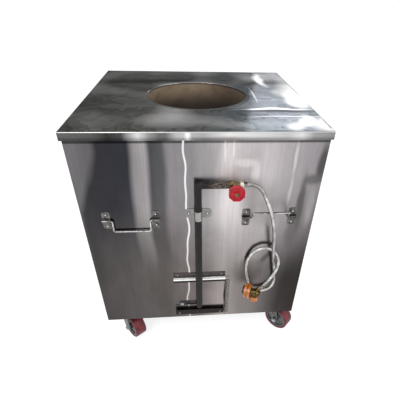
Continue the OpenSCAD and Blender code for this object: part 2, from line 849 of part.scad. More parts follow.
module regulator_nut() {
    color("goldenrod") at_hose_end() translate([0, 0, ferrule_len]) union_nut();
}

// The route's points in panel coordinates, smoothed by a spline through every chosen point
function spline(a, b, c, d, t) = 0.5 * (2 * b + (c - a) * t + (2 * a - 5 * b + 4 * c - d) * t ^ 2
    + (3 * b - a - 3 * c + d) * t ^ 3);
hose_last = len(hose_steps) - 1;
function hose_step(i) = hose_steps[min(max(i, 0), hose_last)];
function hose_route() = concat(
    [for (i = [0:hose_last - 1], k = [0:hose_steps_per_span - 1])
        spline(hose_step(i - 1), hose_step(i), hose_step(i + 1), hose_step(i + 2), k / hose_steps_per_span)],
    [hose_step(hose_last)]
);
hose_axis = hose_route();
function unit(v) = v / norm(v);
function hose_way(i) = i == 0 ? [1, 0, 0]
    : i == len(hose_axis) - 1 ? hose_end_way
    : unit(hose_axis[i + 1] - hose_axis[i - 1]);

// Side direction of each ring, carried along the route so that the tube doesn't twist
function carried(v, way) = unit(v - (v * way) * way);
hose_frames = [for (i = 0, v = [0, 1, 0]; i < len(hose_axis);
    i = i + 1, v = i < len(hose_axis) ? carried(v, hose_way(i)) : v) v];
hose_points = [for (i = [0:len(hose_axis) - 1], k = [0:hose_sides - 1])
    let (a = 360 * k / hose_sides, v = hose_frames[i], w = cross(hose_way(i), v))
        hose_axis[i] + hose_d / 2 * (cos(a) * v + sin(a) * w)];
function ring_face(i, k) = let (n = hose_sides, a = i * n + k, b = i * n + (k + 1) % n) [
    [a, b, b + n], [a, b + n, a + n]
];
hose_faces = concat(
    [for (k = [1:hose_sides - 2]) [0, k + 1, k]],
    [for (i = [0:len(hose_axis) - 2], k = [0:hose_sides - 1]) each ring_face(i, k)],
    [for (k = [1:hose_sides - 2]) let (e = (len(hose_axis) - 1) * hose_sides) [e, e + k, e + k + 1]]
);

// Length of the route, and the least gap between stretches of hose that are over six diameters apart
function route_length(i) = i == 0 ? 0 : route_length(i - 1) + norm(hose_axis[i] - hose_axis[i - 1]);
hose_lengths = [for (i = [0:len(hose_axis) - 1]) route_length(i)];
hose_gap = min([for (i = [0:len(hose_axis) - 1], j = [0:i])
    if (hose_lengths[i] - hose_lengths[j] > 6 * hose_d) norm(hose_axis[i] - hose_axis[j])]) - hose_d;
echo(hose_length = hose_lengths[len(hose_axis) - 1], least_gap_in_hose_loop = hose_gap);

// One unbroken tube along the route, whose points run right, out of the panel and up
module gas_hose() {
    color("lightgray") translate([hose_start.x, front_y - hose_start.y, base_z + hose_start.z])
        mirror([0, 1, 0]) polyhedron(hose_points, hose_faces, convexity = 10);
}

// Regulator: discs, knob and block share one axis, which is Z here, and Y is up
module at_regulator() {
    on_front(regulator_mid.x, regulator_mid.z) translate([0, 0, regulator_mid.y])
        rotate([0, 90 - regulator_turn, 0]) children();
}

// Cast valve block with a leaning spout for the hose, a boss for the socket and an end plug
module regulator_body() {
    plug_r = 8;
    plug_t = 4;
    color([0.1, 0.1, 0.1]) {
        at_regulator() {
            translate([0, 0, disc_face - block_offset])
                cylinder(r = block_r, h = block_end + block_offset - disc_face);
            translate([0, 0, block_end - cut]) hex_bar(2 * plug_r, plug_t + cut);
            rotate([90, 0, 0]) cylinder(r = socket_r, h = socket_drop);
        }
        at_hose_end() translate([0, 0, ferrule_len + hose_nut_len]) cylinder(r = spout_r, h = spout_len);
    }
}

// Pressed housing: two flanged discs with a groove between them and a low boss on the outside
module regulator_cover() {
    color("darkorange") at_regulator() translate([0, 0, -block_offset]) difference() {
        union() {
            translate([0, 0, -disc_face]) cylinder(r = disc_r, h = disc_t);
            translate([0, 0, -disc_groove]) cylinder(r = disc_core_r, h = 2 * disc_groove);
            translate([0, 0, disc_groove / 2]) cylinder(r = disc_r, h = disc_t);
            translate([0, 0, -disc_face - cover_boss]) cylinder(r = switch_r + 3, h = cover_boss + cut);
        }
        translate([0, 0, -disc_face - cover_boss - cut])
            cylinder(r = switch_stem_r + run_fit, h = switch_stem + cut);
    }
}

// Sleeve under the block that clicks onto the cylinder's valve
module regulator_socket() {
    end_wall = 4;
    color("darkorange") at_regulator() rotate([90, 0, 0]) translate([0, 0, socket_drop]) difference() {
        cylinder(r = socket_r + socket_wall, h = socket_len);
        translate([0, 0, end_wall]) cylinder(r = socket_r, h = socket_len);
    }
}

// Low black knob with finger flutes and a short stem
module regulator_knob() {
    flutes = 12;
    flute_r = 2.4;
    skirt = 2;
    color([0.08, 0.08, 0.09]) at_regulator()
        translate([0, 0, -block_offset - disc_face - cover_boss - part_gap]) mirror([0, 0, 1]) difference() {
            union() {
                cylinder(r = switch_r, h = switch_h);
                translate([0, 0, -switch_stem + 2 * part_gap])
                    cylinder(r = switch_stem_r, h = switch_stem - 2 * part_gap + cut);
            }
            for (i = [0:flutes - 1]) rotate(i * 360 / flutes) translate([switch_r + 1, 0, skirt])
                cylinder(r = flute_r, h = switch_h, $fn = 24);
        }
}

// Ash door

rail_rivet_xs = [rail_left + rivet_inset, rail_right - rivet_inset];

// Folded Z rail along X: a flange on the panel, a ledge standing out and a lip turned back
module z_rail(flange) {
    rotate([90, 0, 90]) linear_extrude(rail_len) {
        square([flange, sheet_t]);
        square([sheet_t, rail_depth]);
        translate([-rail_lip + sheet_t, rail_depth - sheet_t]) square([rail_lip, sheet_t]);
    }
}

module door_rails() {
    notch_r = pipe_r + pull_gap;
    color("gainsboro") on_front(0, 0) difference() {
        union() {
            translate([rail_left, top_ledge_h, 0]) z_rail(top_flange);
            translate([rail_left, bottom_ledge_h, 0]) mirror([0, 1, 0]) z_rail(bottom_flange);
        }
        translate([riser_x - notch_r, top_ledge_h - 2 * rail_lip, sheet_t])
            cube([2 * notch_r, 2 * rail_lip + top_flange, rail_depth]);
        rail_rivet_holes();
    }
}

// The lower two also go through the floor tray's edge
module rail_rivets() {
    color("silver") on_front(0, 0) for (x = rail_rivet_xs) {
        translate([x, top_rivet_h, sheet_t]) rivet(2 * sheet_t);
        translate([x, low_rivet_h, sheet_t]) rivet(2 * sheet_t + tray_t);
    }
}

door_rivet_x = door_right - 6;
door_rivet_hs = [62, 152];

// Sliding sheet, slotted from its left edge so that it can pass the pipe's leg
module door_sheet() {
    slot_half = pipe_r + slot_gap;
    slot_end = riser_x + slot_half;
    color("lightgray") on_front(0, 0) difference() {
        translate([door_left, door_bottom_h, door_gap]) cube([door_w, door_top_h - door_bottom_h, door_t]);
        translate([door_left - cut, leg_h - slot_half, 0])
            cube([slot_end - door_left + cut, 2 * slot_half, 2 * door_t + door_gap]);
        for (h = door_rivet_hs) translate([door_rivet_x, h, 0]) rivet_hole();
    }
}

// Upright angle riveted to the door's right edge, which serves as its pull and its stop
module door_pull() {
    on_sheet = door_gap + door_t;
    color("silver") on_front(0, 0) difference() {
        union() {
            for (plan = [[pull_w, sheet_t], [sheet_t, pull_depth]])
                translate([pull_left, pull_bottom_h, on_sheet])
                    cube([plan.x, pull_top_h - pull_bottom_h, plan.y]);
        }
        for (h = door_rivet_hs) translate([door_rivet_x, h, 0]) rivet_hole();
    }
}

module door_rivets() {
    color("gainsboro") on_front(0, 0) for (h = door_rivet_hs)
        translate([door_rivet_x, h, door_gap + door_t + sheet_t]) rivet(door_t + sheet_t, tail = false);
}

// Handles

// Quarter bend of the bail's rod, from the -X side of the origin round to its -Y side
module rod_bend(r) {
    rotate_extrude(angle = 90) translate([r, 0]) circle(bail_r);
}

// Bail drawn hanging down from a pivot on the X axis
module bail_rod() {
    bend = 6;
    arm_x = saddle_pitch / 2 - saddle_w / 2 - bail_r - 2;
    stub_end = saddle_pitch / 2 + saddle_w / 2;
    for (side = [0, 1]) mirror([side, 0, 0]) {
        translate([arm_x + bend, 0, 0]) rotate([0, 90, 0]) cylinder(r = bail_r, h = stub_end - arm_x - bend);
        translate([arm_x + bend, -bend, 0]) rotate(90) rod_bend(bend);
        translate([arm_x, -bail_drop + bend, 0]) rotate([-90, 0, 0])
            cylinder(r = bail_r, h = bail_drop - 2 * bend);
        translate([arm_x - bend, -bail_drop + bend, 0]) rotate(-90) rod_bend(bend);
    }
    translate([-arm_x + bend, -bail_drop, 0]) rotate([0, 90, 0]) cylinder(r = bail_r, h = 2 * (arm_x - bend));
}

module bail(i) {
    color("silver") at_handle(i) translate([0, 0, bail_out])
        rotate([i == 1 ? -bail_raised : 0, 0, 0]) bail_rod();
}

module handle_saddles() {
    color("gainsboro") for (i = [0:3], x = [-1, 1]) at_handle(i)
        translate([x * saddle_pitch / 2, 0, 0]) rotate(90)
            omega_strap(saddle_bore, bail_out, saddle_t, saddle_w, saddle_reach / 2, saddle_rivets, 6);
}

module handle_rivets() {
    color("silver") for (i = [0:3], x = [-1, 1], y = [-1, 1]) at_handle(i)
        translate([x * saddle_pitch / 2, y * saddle_rivets / 2, saddle_t]) rivet(saddle_t + sheet_t);
}

// Castors, each drawn round its swivel with the wheel trailing towards -Y

// Top plate with the upper ball race and the kingpin
module castor_plates() {
    fork_top = base_z - plate_t - race_h - part_gap;
    pin_bottom = fork_top - fork_plate_t - part_gap - kingpin_head_h;
    color("lightslategray") for (i = [0:3]) at_castor(i) {
        translate([0, 0, base_z - plate_t]) difference() {
            linear_extrude(plate_t) rounded_plan(plate_w, plate_d, 8);
            for (x = [-1, 1], y = [-1, 1]) translate([x * plate_hole_x / 2, y * plate_hole_y / 2, -cut])
                cylinder(r = m8_r + bolt_fit, h = plate_t + 2 * cut);
        }
        translate([0, 0, base_z - plate_t - race_h]) difference() {
            cylinder(r = race_r, h = race_h);
            translate([0, 0, -cut]) cylinder(r = race_bore, h = race_h + cut);
        }
        translate([0, 0, pin_bottom]) cylinder(r = kingpin_r, h = base_z - plate_t - pin_bottom);
        translate([0, 0, pin_bottom]) cylinder(r = kingpin_head_r, h = kingpin_head_h);
    }
}

module castor_bolts() {
    color("silver") for (i = [0:3]) at_castor(i) for (x = [-1, 1], y = [-1, 1])
        translate([x * plate_hole_x / 2, y * plate_hole_y / 2, base_z - plate_t]) m8_bolt(plate_t + tray_t);
}

// Pressed yoke: a swivel plate and two legs that narrow to the axle
module fork(i) {
    top = base_z - plate_t - race_h - part_gap;
    axle_z = wheel_d / 2;
    back_top = 20;
    front_top = 34;
    color("slategray") at_castor(i) rotate(swivels[i]) difference() {
        union() {
            translate([0, 0, top - fork_plate_t]) cylinder(r = fork_plate_r, h = fork_plate_t);
            translate([-fork_half - fork_t, -front_top, top - fork_plate_t])
                cube([2 * (fork_half + fork_t), front_top, fork_plate_t]);
            for (x = [-fork_half - fork_t, fork_half]) translate([x, 0, 0]) rotate([90, 0, 90])
                linear_extrude(fork_t) {
                    polygon([
                        [back_top, top], [-front_top, top], [-trail - fork_foot_r, axle_z + 6],
                        [-trail - fork_foot_r, axle_z], [-trail + fork_foot_r, axle_z],
                        [back_top, top - 8]
                    ]);
                    translate([-trail, axle_z]) circle(fork_foot_r);
                }
        }
        translate([0, 0, top - fork_plate_t - cut])
            cylinder(r = kingpin_r + run_fit, h = fork_plate_t + 2 * cut);
        translate([-2 * fork_half, -trail, axle_z]) rotate([0, 90, 0])
            cylinder(r = axle_r + run_fit, h = 4 * fork_half);
    }
}

module on_axle(i) {
    at_castor(i) rotate(swivels[i]) translate([0, -trail, wheel_d / 2]) rotate([0, 90, 0]) children();
}

// Bolt through the fork: its head is on the right of the wheel and its nut on the left
module axle(i) {
    grip = fork_half + fork_t;
    color("silver") on_axle(i) {
        translate([0, 0, -grip - axle_nut_h - 3]) cylinder(r = axle_r, h = 2 * grip + axle_nut_h + 3 + cut);
        translate([0, 0, -grip - axle_nut_h]) hex_bar(axle_flats, axle_nut_h);
        translate([0, 0, grip]) hex_bar(axle_flats, 6);
    }
}

hub_r = wheel_d / 2 - tyre_t;

// Cast core with a long boss, a web set back between its rims and a flat rim face
module hub(i) {
    boss_r = 12;
    rim_t = 6;
    web = wheel_w - 16;
    boss_half = fork_half - hub_play;
    color("slategray") on_axle(i) rotate_extrude() polygon([
        [axle_r + run_fit, -boss_half], [boss_r, -boss_half], [boss_r, -web / 2], [hub_r - rim_t, -web / 2],
        [hub_r - rim_t, -wheel_w / 2 + 2], [hub_r, -wheel_w / 2 + 2], [hub_r, wheel_w / 2 - 2],
        [hub_r - rim_t, wheel_w / 2 - 2], [hub_r - rim_t, web / 2], [boss_r, web / 2], [boss_r, boss_half],
        [axle_r + run_fit, boss_half]
    ]);
}

module tyre(i) {
    color("firebrick") on_axle(i) rotate_extrude() translate([hub_r + tyre_t / 2, 0])
        rounded_plan(tyre_t, wheel_w, tyre_round);
}

top_cap();
front_panel();
rear_panel();
side_panel(-1);  // left_panel
side_panel(1);  // right_panel
base_tray();
frame();
pot_shelf();
clay_pot();
insulation();
burner_head();
mixing_tube();
gas_jet();
burner_strap();
strap_bolt();
gas_pipe();
pipe_clamp();
clamp_rivets();
valve_body();
valve_gland();
valve_spindle();
valve_knob();
knob_screw();
hose_nut();
hose_ferrules();
gas_hose();
regulator_nut();
regulator_body();
regulator_cover();
regulator_socket();
regulator_knob();
door_sheet();
door_pull();
door_rivets();
door_rails();
rail_rivets();
handle_saddles();
handle_rivets();
castor_plates();
castor_bolts();
for (i = [0:3]) {
    bail(i);
    fork(i);
    axle(i);
    hub(i);
    tyre(i);
}
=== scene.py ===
"""Looks of a trolley tandoor: a clay oven in a stainless cabinet on castors, heated by gas."""
import math

import bmesh
import bpy
from mathutils import Matrix, Vector, noise


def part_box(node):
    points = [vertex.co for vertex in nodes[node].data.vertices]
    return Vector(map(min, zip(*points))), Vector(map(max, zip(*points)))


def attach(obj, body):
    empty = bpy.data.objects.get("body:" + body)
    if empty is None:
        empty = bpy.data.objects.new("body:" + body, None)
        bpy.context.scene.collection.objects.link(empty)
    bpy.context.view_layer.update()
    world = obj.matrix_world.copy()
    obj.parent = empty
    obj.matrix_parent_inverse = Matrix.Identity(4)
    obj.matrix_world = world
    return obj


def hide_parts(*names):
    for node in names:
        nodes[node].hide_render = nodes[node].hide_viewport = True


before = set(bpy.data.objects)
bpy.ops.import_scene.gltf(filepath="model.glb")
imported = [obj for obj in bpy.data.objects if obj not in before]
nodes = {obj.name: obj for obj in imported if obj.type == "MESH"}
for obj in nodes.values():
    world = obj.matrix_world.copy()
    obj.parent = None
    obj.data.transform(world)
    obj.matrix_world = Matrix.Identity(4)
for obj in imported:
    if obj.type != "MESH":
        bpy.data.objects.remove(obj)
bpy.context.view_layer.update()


# Camera: held by hand 0.8 m in front of the cabinet and 0.3 m above its top, looking down on
# it. The lens is shifted, so that the cabinet stands where the picture has it.
camera_place = (-0.0314, -1.1611, 1.1498)
camera_turn = -6.18
camera_tilt = 36.67
camera_roll = 2.05
camera = bpy.data.objects.new("camera", bpy.data.cameras.new("camera"))
bpy.context.scene.collection.objects.link(camera)
bpy.context.scene.camera = camera
camera.data.sensor_width = 36
camera.data.lens = 30.177
camera.data.shift_x = -0.05125
camera.data.shift_y = 0.081
camera.data.dof.use_dof = False
look = Matrix.Rotation(math.radians(camera_turn), 4, "Z")
tilt = Matrix.Rotation(math.radians(90 - camera_tilt), 4, "X")
roll = Matrix.Rotation(math.radians(camera_roll), 4, "Z")
camera.matrix_world = Matrix.Translation(camera_place) @ look @ tilt @ roll


# Gas hose: a rubber tube in a sleeve of braided stainless wire, 11 mm thick. It is crimped
# into a ferrule at each end, drops from the valve and turns once through a hanging loop.
def linear(code):
    """The linear colour of an sRGB hex code, as a shader takes it."""
    parts = [int(code[i:i + 2], 16) / 255 for i in (1, 3, 5)]
    return [c / 12.92 if c <= 0.04045 else ((c + 0.055) / 1.055) ** 2.4 for c in parts] + [1.0]


def add(tree, kind, inputs=None, stops=(), **settings):
    """A shader node with its settings, its inputs set or linked, and a ramp's stops."""
    made = tree.nodes.new("ShaderNode" + kind)
    for key, value in settings.items():
        setattr(made, key, value)
    for key, value in (inputs or {}).items():
        if isinstance(value, bpy.types.NodeSocket):
            tree.links.new(value, made.inputs[key])
        else:
            made.inputs[key].default_value = value
    for i, (place, code) in enumerate(stops):
        stop = made.color_ramp.elements[i] if i < 2 else made.color_ramp.elements.new(place)
        stop.position = place
        stop.color = linear(code)
    return made


def start_material(name, **sockets):
    """A material with one Principled shader, whose constant sockets are set."""
    made = bpy.data.materials.new(name)
    made.use_nodes = True
    shader = made.node_tree.nodes["Principled BSDF"]
    for key, value in sockets.items():
        shader.inputs[key.replace("_", " ")].default_value = value
    return made, made.node_tree, shader


def link_object(name, mesh, material, body):
    """A finished piece at the origin, in its material, that rides on a body."""
    made = bpy.data.objects.new(name, mesh)
    bpy.context.scene.collection.objects.link(made)
    mesh.materials.clear()
    mesh.materials.append(material)
    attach(made, body)
    return made


# Each step is in millimetres from the hose's exit: to the right, out from the panel, and up.
hose_diameter = 0.011
hose_exit = Vector((0.129, -0.332425, 0.695))
hose_end_lean = math.radians(52)
hose_steps = [
    (0, 0, 0), (12, 0, 0), (23.5, 1, -2.5), (34.5, 3.5, -8), (44, 8.5, -16.5),
    (52, 16.5, -29), (59, 27.5, -43.5), (66.5, 37.5, -62), (74, 45, -86), (80.5, 47, -113),
    (86, 44.5, -140), (90, 40, -166), (93.5, 35, -192), (96.5, 30, -218), (100, 25.5, -244.5),
    (104, 19.5, -269.5), (110, 13.5, -295), (115, 10, -321), (118, 7, -347.5), (123, 3.5, -375),
    (118, 4, -403.5), (103, 3, -421.5), (80, 1, -429.5), (57, -1.5, -424.5), (39, -4, -406),
    (30.5, -3.5, -377.5), (24.5, -2, -349.5), (21, -1.5, -322.5), (22, -1.5, -295.5), (29, -1, -270),
    (43.5, 1, -247), (66.5, 2.5, -234.5), (91, 5, -235.5), (111, 11, -249), (121, 20.5, -269.5),
    (118.5, 30.5, -291.5), (109, 36.5, -313), (96.5, 39, -335.5), (82.9, 41, -355.4), (75, 41, -365.5),
]
hose_points = [hose_exit + Vector((right, -out, up)) * 0.001 for right, out, up in hose_steps]
hose_first_way = Vector((1, 0, 0))
hose_last_way = Vector((-math.cos(hose_end_lean), 0, -math.sin(hose_end_lean)))
rings_per_step = 5
hose_sides = 24


def along(points, rings):
    """Points on one smooth curve through the chosen points, that many to each span."""
    ends = [points[0]] + points + [points[-1]]
    path = []
    for a, b, c, d in zip(ends, ends[1:], ends[2:], ends[3:]):
        for k in range(rings):
            t = k / rings
            path.append(0.5 * (2 * b + (c - a) * t + (2 * a - 5 * b + 4 * c - d) * t ** 2
                               + (3 * b - a - 3 * c + d) * t ** 3))
    return path + [points[-1]]


def swing(first, second):
    """The turn that brings one direction to another."""
    return first.rotation_difference(second).to_matrix().to_4x4()


def braided_tube(path, first_way, last_way, radius, sides):
    """A tube swept along a path, with its UV map in metres along and in turns round."""
    ways = [first_way] + [(c - a).normalized() for a, c in zip(path, path[2:])] + [last_way]
    shape = bmesh.new()
    uv = shape.loops.layers.uv.new("UVMap")
    ring = bmesh.ops.create_circle(shape, segments=sides, radius=radius)["verts"]
    turn = Matrix.Translation(path[0]) @ swing(Vector((0, 0, 1)), ways[0])
    bmesh.ops.transform(shape, matrix=turn, verts=ring)
    edges = list({e for v in ring for e in v.link_edges})
    side = ways[1].orthogonal().normalized()
    run = 0.0
    for i in range(1, len(path)):
        grown = bmesh.ops.extrude_edge_only(shape, edges=edges)["geom"]
        verts = [g for g in grown if isinstance(g, bmesh.types.BMVert)]
        edges = [g for g in grown if isinstance(g, bmesh.types.BMEdge)]
        turn = Matrix.Translation(path[i]) @ swing(ways[i - 1], ways[i]) @ Matrix.Translation(-path[i - 1])
        bmesh.ops.transform(shape, matrix=turn, verts=verts)
        far = run + (path[i] - path[i - 1]).length
        new = {id(v) for v in verts}
        side = (side - side.dot(ways[i]) * ways[i]).normalized()
        third = ways[i].cross(side)
        for face in {f for v in verts for f in v.link_faces}:
            turns = []
            for loop in face.loops:
                at = loop.vert.co - (path[i] if id(loop.vert) in new else path[i - 1])
                turns.append(math.atan2(at.dot(third), at.dot(side)) / math.tau)
            for loop, t in zip(face.loops, turns):
                t += 1 if max(turns) - t > 0.5 else 0
                loop[uv].uv = (far if id(loop.vert) in new else run, t)
        run = far
    for face in shape.faces:
        face.smooth = True
    bmesh.ops.recalc_face_normals(shape, faces=shape.faces)
    mesh = bpy.data.meshes.new("gas_hose_braid")
    shape.to_mesh(mesh)
    shape.free()
    return mesh


# Stainless wire braid: bright flat strands that cross over and under each other. They are
# about 1.6 mm wide in place of a real 1 mm, so that they show. The braid is darker near its top
# by the valve. It is painted darker, as shade, on the sides that face the panel and the floor,
# lighter on those that face out and up, and painted brighter, as light, on the loop's left.
strand_turns = 12
strand_pitch = 0.024
strand_height = 0.0006
braid_grime = 0.0222
# Heights over which the braid turns darker, and the span to the right over which its painted brightening
# fades out.
darkening_heights = (0.64, 0.685)
brightening_span = (0.2, 0.185)
braid, tree, shader = start_material("Stainless wire braid", Metallic=1.0, Roughness=0.34)
where = add(tree, "SeparateXYZ", {0: add(tree, "UVMap", uv_map="UVMap").outputs[0]})
run = add(tree, "Math", {0: where.outputs[0], 1: math.tau * strand_turns / 2 / strand_pitch},
          operation="MULTIPLY")
turns = add(tree, "Math", {0: where.outputs[1], 1: math.tau * strand_turns / 2}, operation="MULTIPLY")
one_way = add(tree, "Math", {0: run.outputs[0], 1: turns.outputs[0]})
other_way = add(tree, "Math", {0: run.outputs[0], 1: turns.outputs[0]}, operation="SUBTRACT")
left = add(tree, "Math", {0: one_way.outputs[0]}, operation="SINE")
right = add(tree, "Math", {0: other_way.outputs[0]}, operation="SINE")
over = add(tree, "Math", {0: left.outputs[0], 1: right.outputs[0]}, operation="MULTIPLY")
weave = add(tree, "MapRange", {0: over.outputs[0], 1: -0.5, 2: 0.5})
coords = add(tree, "TexCoord")
grime = add(tree, "TexNoise", {"Vector": coords.outputs["Object"], "Scale": 1 / braid_grime, "Detail": 3.0})
shade = add(tree, "ValToRGB", {0: weave.outputs[0]},
            stops=[(0.0, "#6b6968"), (0.45, "#c3c1bf"), (1.0, "#e6e4e1")])
dull = add(tree, "ValToRGB", {0: grime.outputs[0]}, stops=[(0.3, "#b9b8b6"), (0.65, "#ffffff")])
tint = add(tree, "Mix", {0: 1.0, 6: shade.outputs[0], 7: dull.outputs[0]},
           data_type="RGBA", blend_type="MULTIPLY")
# Painted shade and light: darker on faces turned to the panel and the floor, lighter on those turned out
# and up.
outward = add(tree, "VectorMath", {0: coords.outputs["Normal"], 1: (0.0, -0.86, 0.5)},
              operation="DOT_PRODUCT")
painted_light = add(tree, "MapRange", {0: outward.outputs["Value"], 1: 0.15, 2: 0.95, 3: 0.24, 4: 1.3},
             interpolation_type="SMOOTHSTEP")
place = add(tree, "SeparateXYZ", {0: coords.outputs["Object"]})
# Darker near the top, by the valve.
darker_at_top = add(tree, "MapRange", {0: place.outputs[2], 1: darkening_heights[0], 2: darkening_heights[1],
                               3: 1.0, 4: 0.5},
            interpolation_type="SMOOTHSTEP")
# Painted light: brighter on the loop's left part.
painted_brightening = add(tree, "MapRange", {0: place.outputs[0], 1: brightening_span[0], 2: brightening_span[1],
                                 3: 1.0, 4: 1.25},
              interpolation_type="SMOOTHSTEP")
share = add(tree, "Math", {0: darker_at_top.outputs[0], 1: painted_brightening.outputs[0]}, operation="MULTIPLY")
share = add(tree, "Math", {0: share.outputs[0], 1: painted_light.outputs[0]}, operation="MULTIPLY")
wear_and_painted_light = add(tree, "VectorMath", {0: tint.outputs[2], 3: share.outputs[0]}, operation="SCALE")
bump = add(tree, "Bump", {"Height": weave.outputs[0], "Distance": strand_height, "Strength": 0.9})
tree.links.new(wear_and_painted_light.outputs[0], shader.inputs["Base Color"])
tree.links.new(bump.outputs[0], shader.inputs["Normal"])

hose_path = along(hose_points, rings_per_step)
hose_mesh = braided_tube(hose_path, hose_first_way, hose_last_way, hose_diameter / 2, hose_sides)
hose = link_object("gas_hose_braid", hose_mesh, braid, "cabinet")
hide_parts("gas_hose")


# Front panel and door: cold-rolled stainless sheet with a dull mirror finish, hand-folded.
# Wavy upright bands of light and dark, as it would reflect them, are painted into its tone. The
# door slides across the panel's ash opening, and the two share one finish.
def wear(material, *names):
    """Gives CAD nodes their material."""
    for name in names:
        for place in nodes[name].material_slots:
            place.material = material


# Nearly all of a noise pattern's values lie between these two.
noise_low = 0.3
noise_high = 0.7

# Lengths of the sheet's waves, stains and dents, in metres. Its rolling lines are far finer,
# and are drawn about 5 mm apart, so that they show.
sway_length = 0.278
line_bend = 0.154
flash_ripple = 0.0769
stain_size = 0.0909
rolling_lines = 0.00476
dent_size = 0.1429
dent_depth = 0.0022
line_depth = 0.00003

# Half the sheet's width, and where its painted reflection bands change: the heights between
# which the low bands turn into the high ones, those between which the edge bands part, and those
# of the painted shadow under the cap. The edge bands lie this far from the middle.
sheet_half = 0.35
turning_heights = (0.3, 0.72)
parting_heights = (0.79, 0.6)
shadow_heights = (0.811, 0.8145)
edge_zone = (0.31, 0.24)

# The thin painted highlight line winds this far to each side, and fades out between these half widths.
line_swing = 0.009
line_half = (0.001, 0.004)

# The front's painted flashes and its smudges lie in this plane, and this is how deep a flash reaches.
front_y = -0.32
flash_depth = 0.1
flash_ruffle = (0.014, 0.014, 0.014)


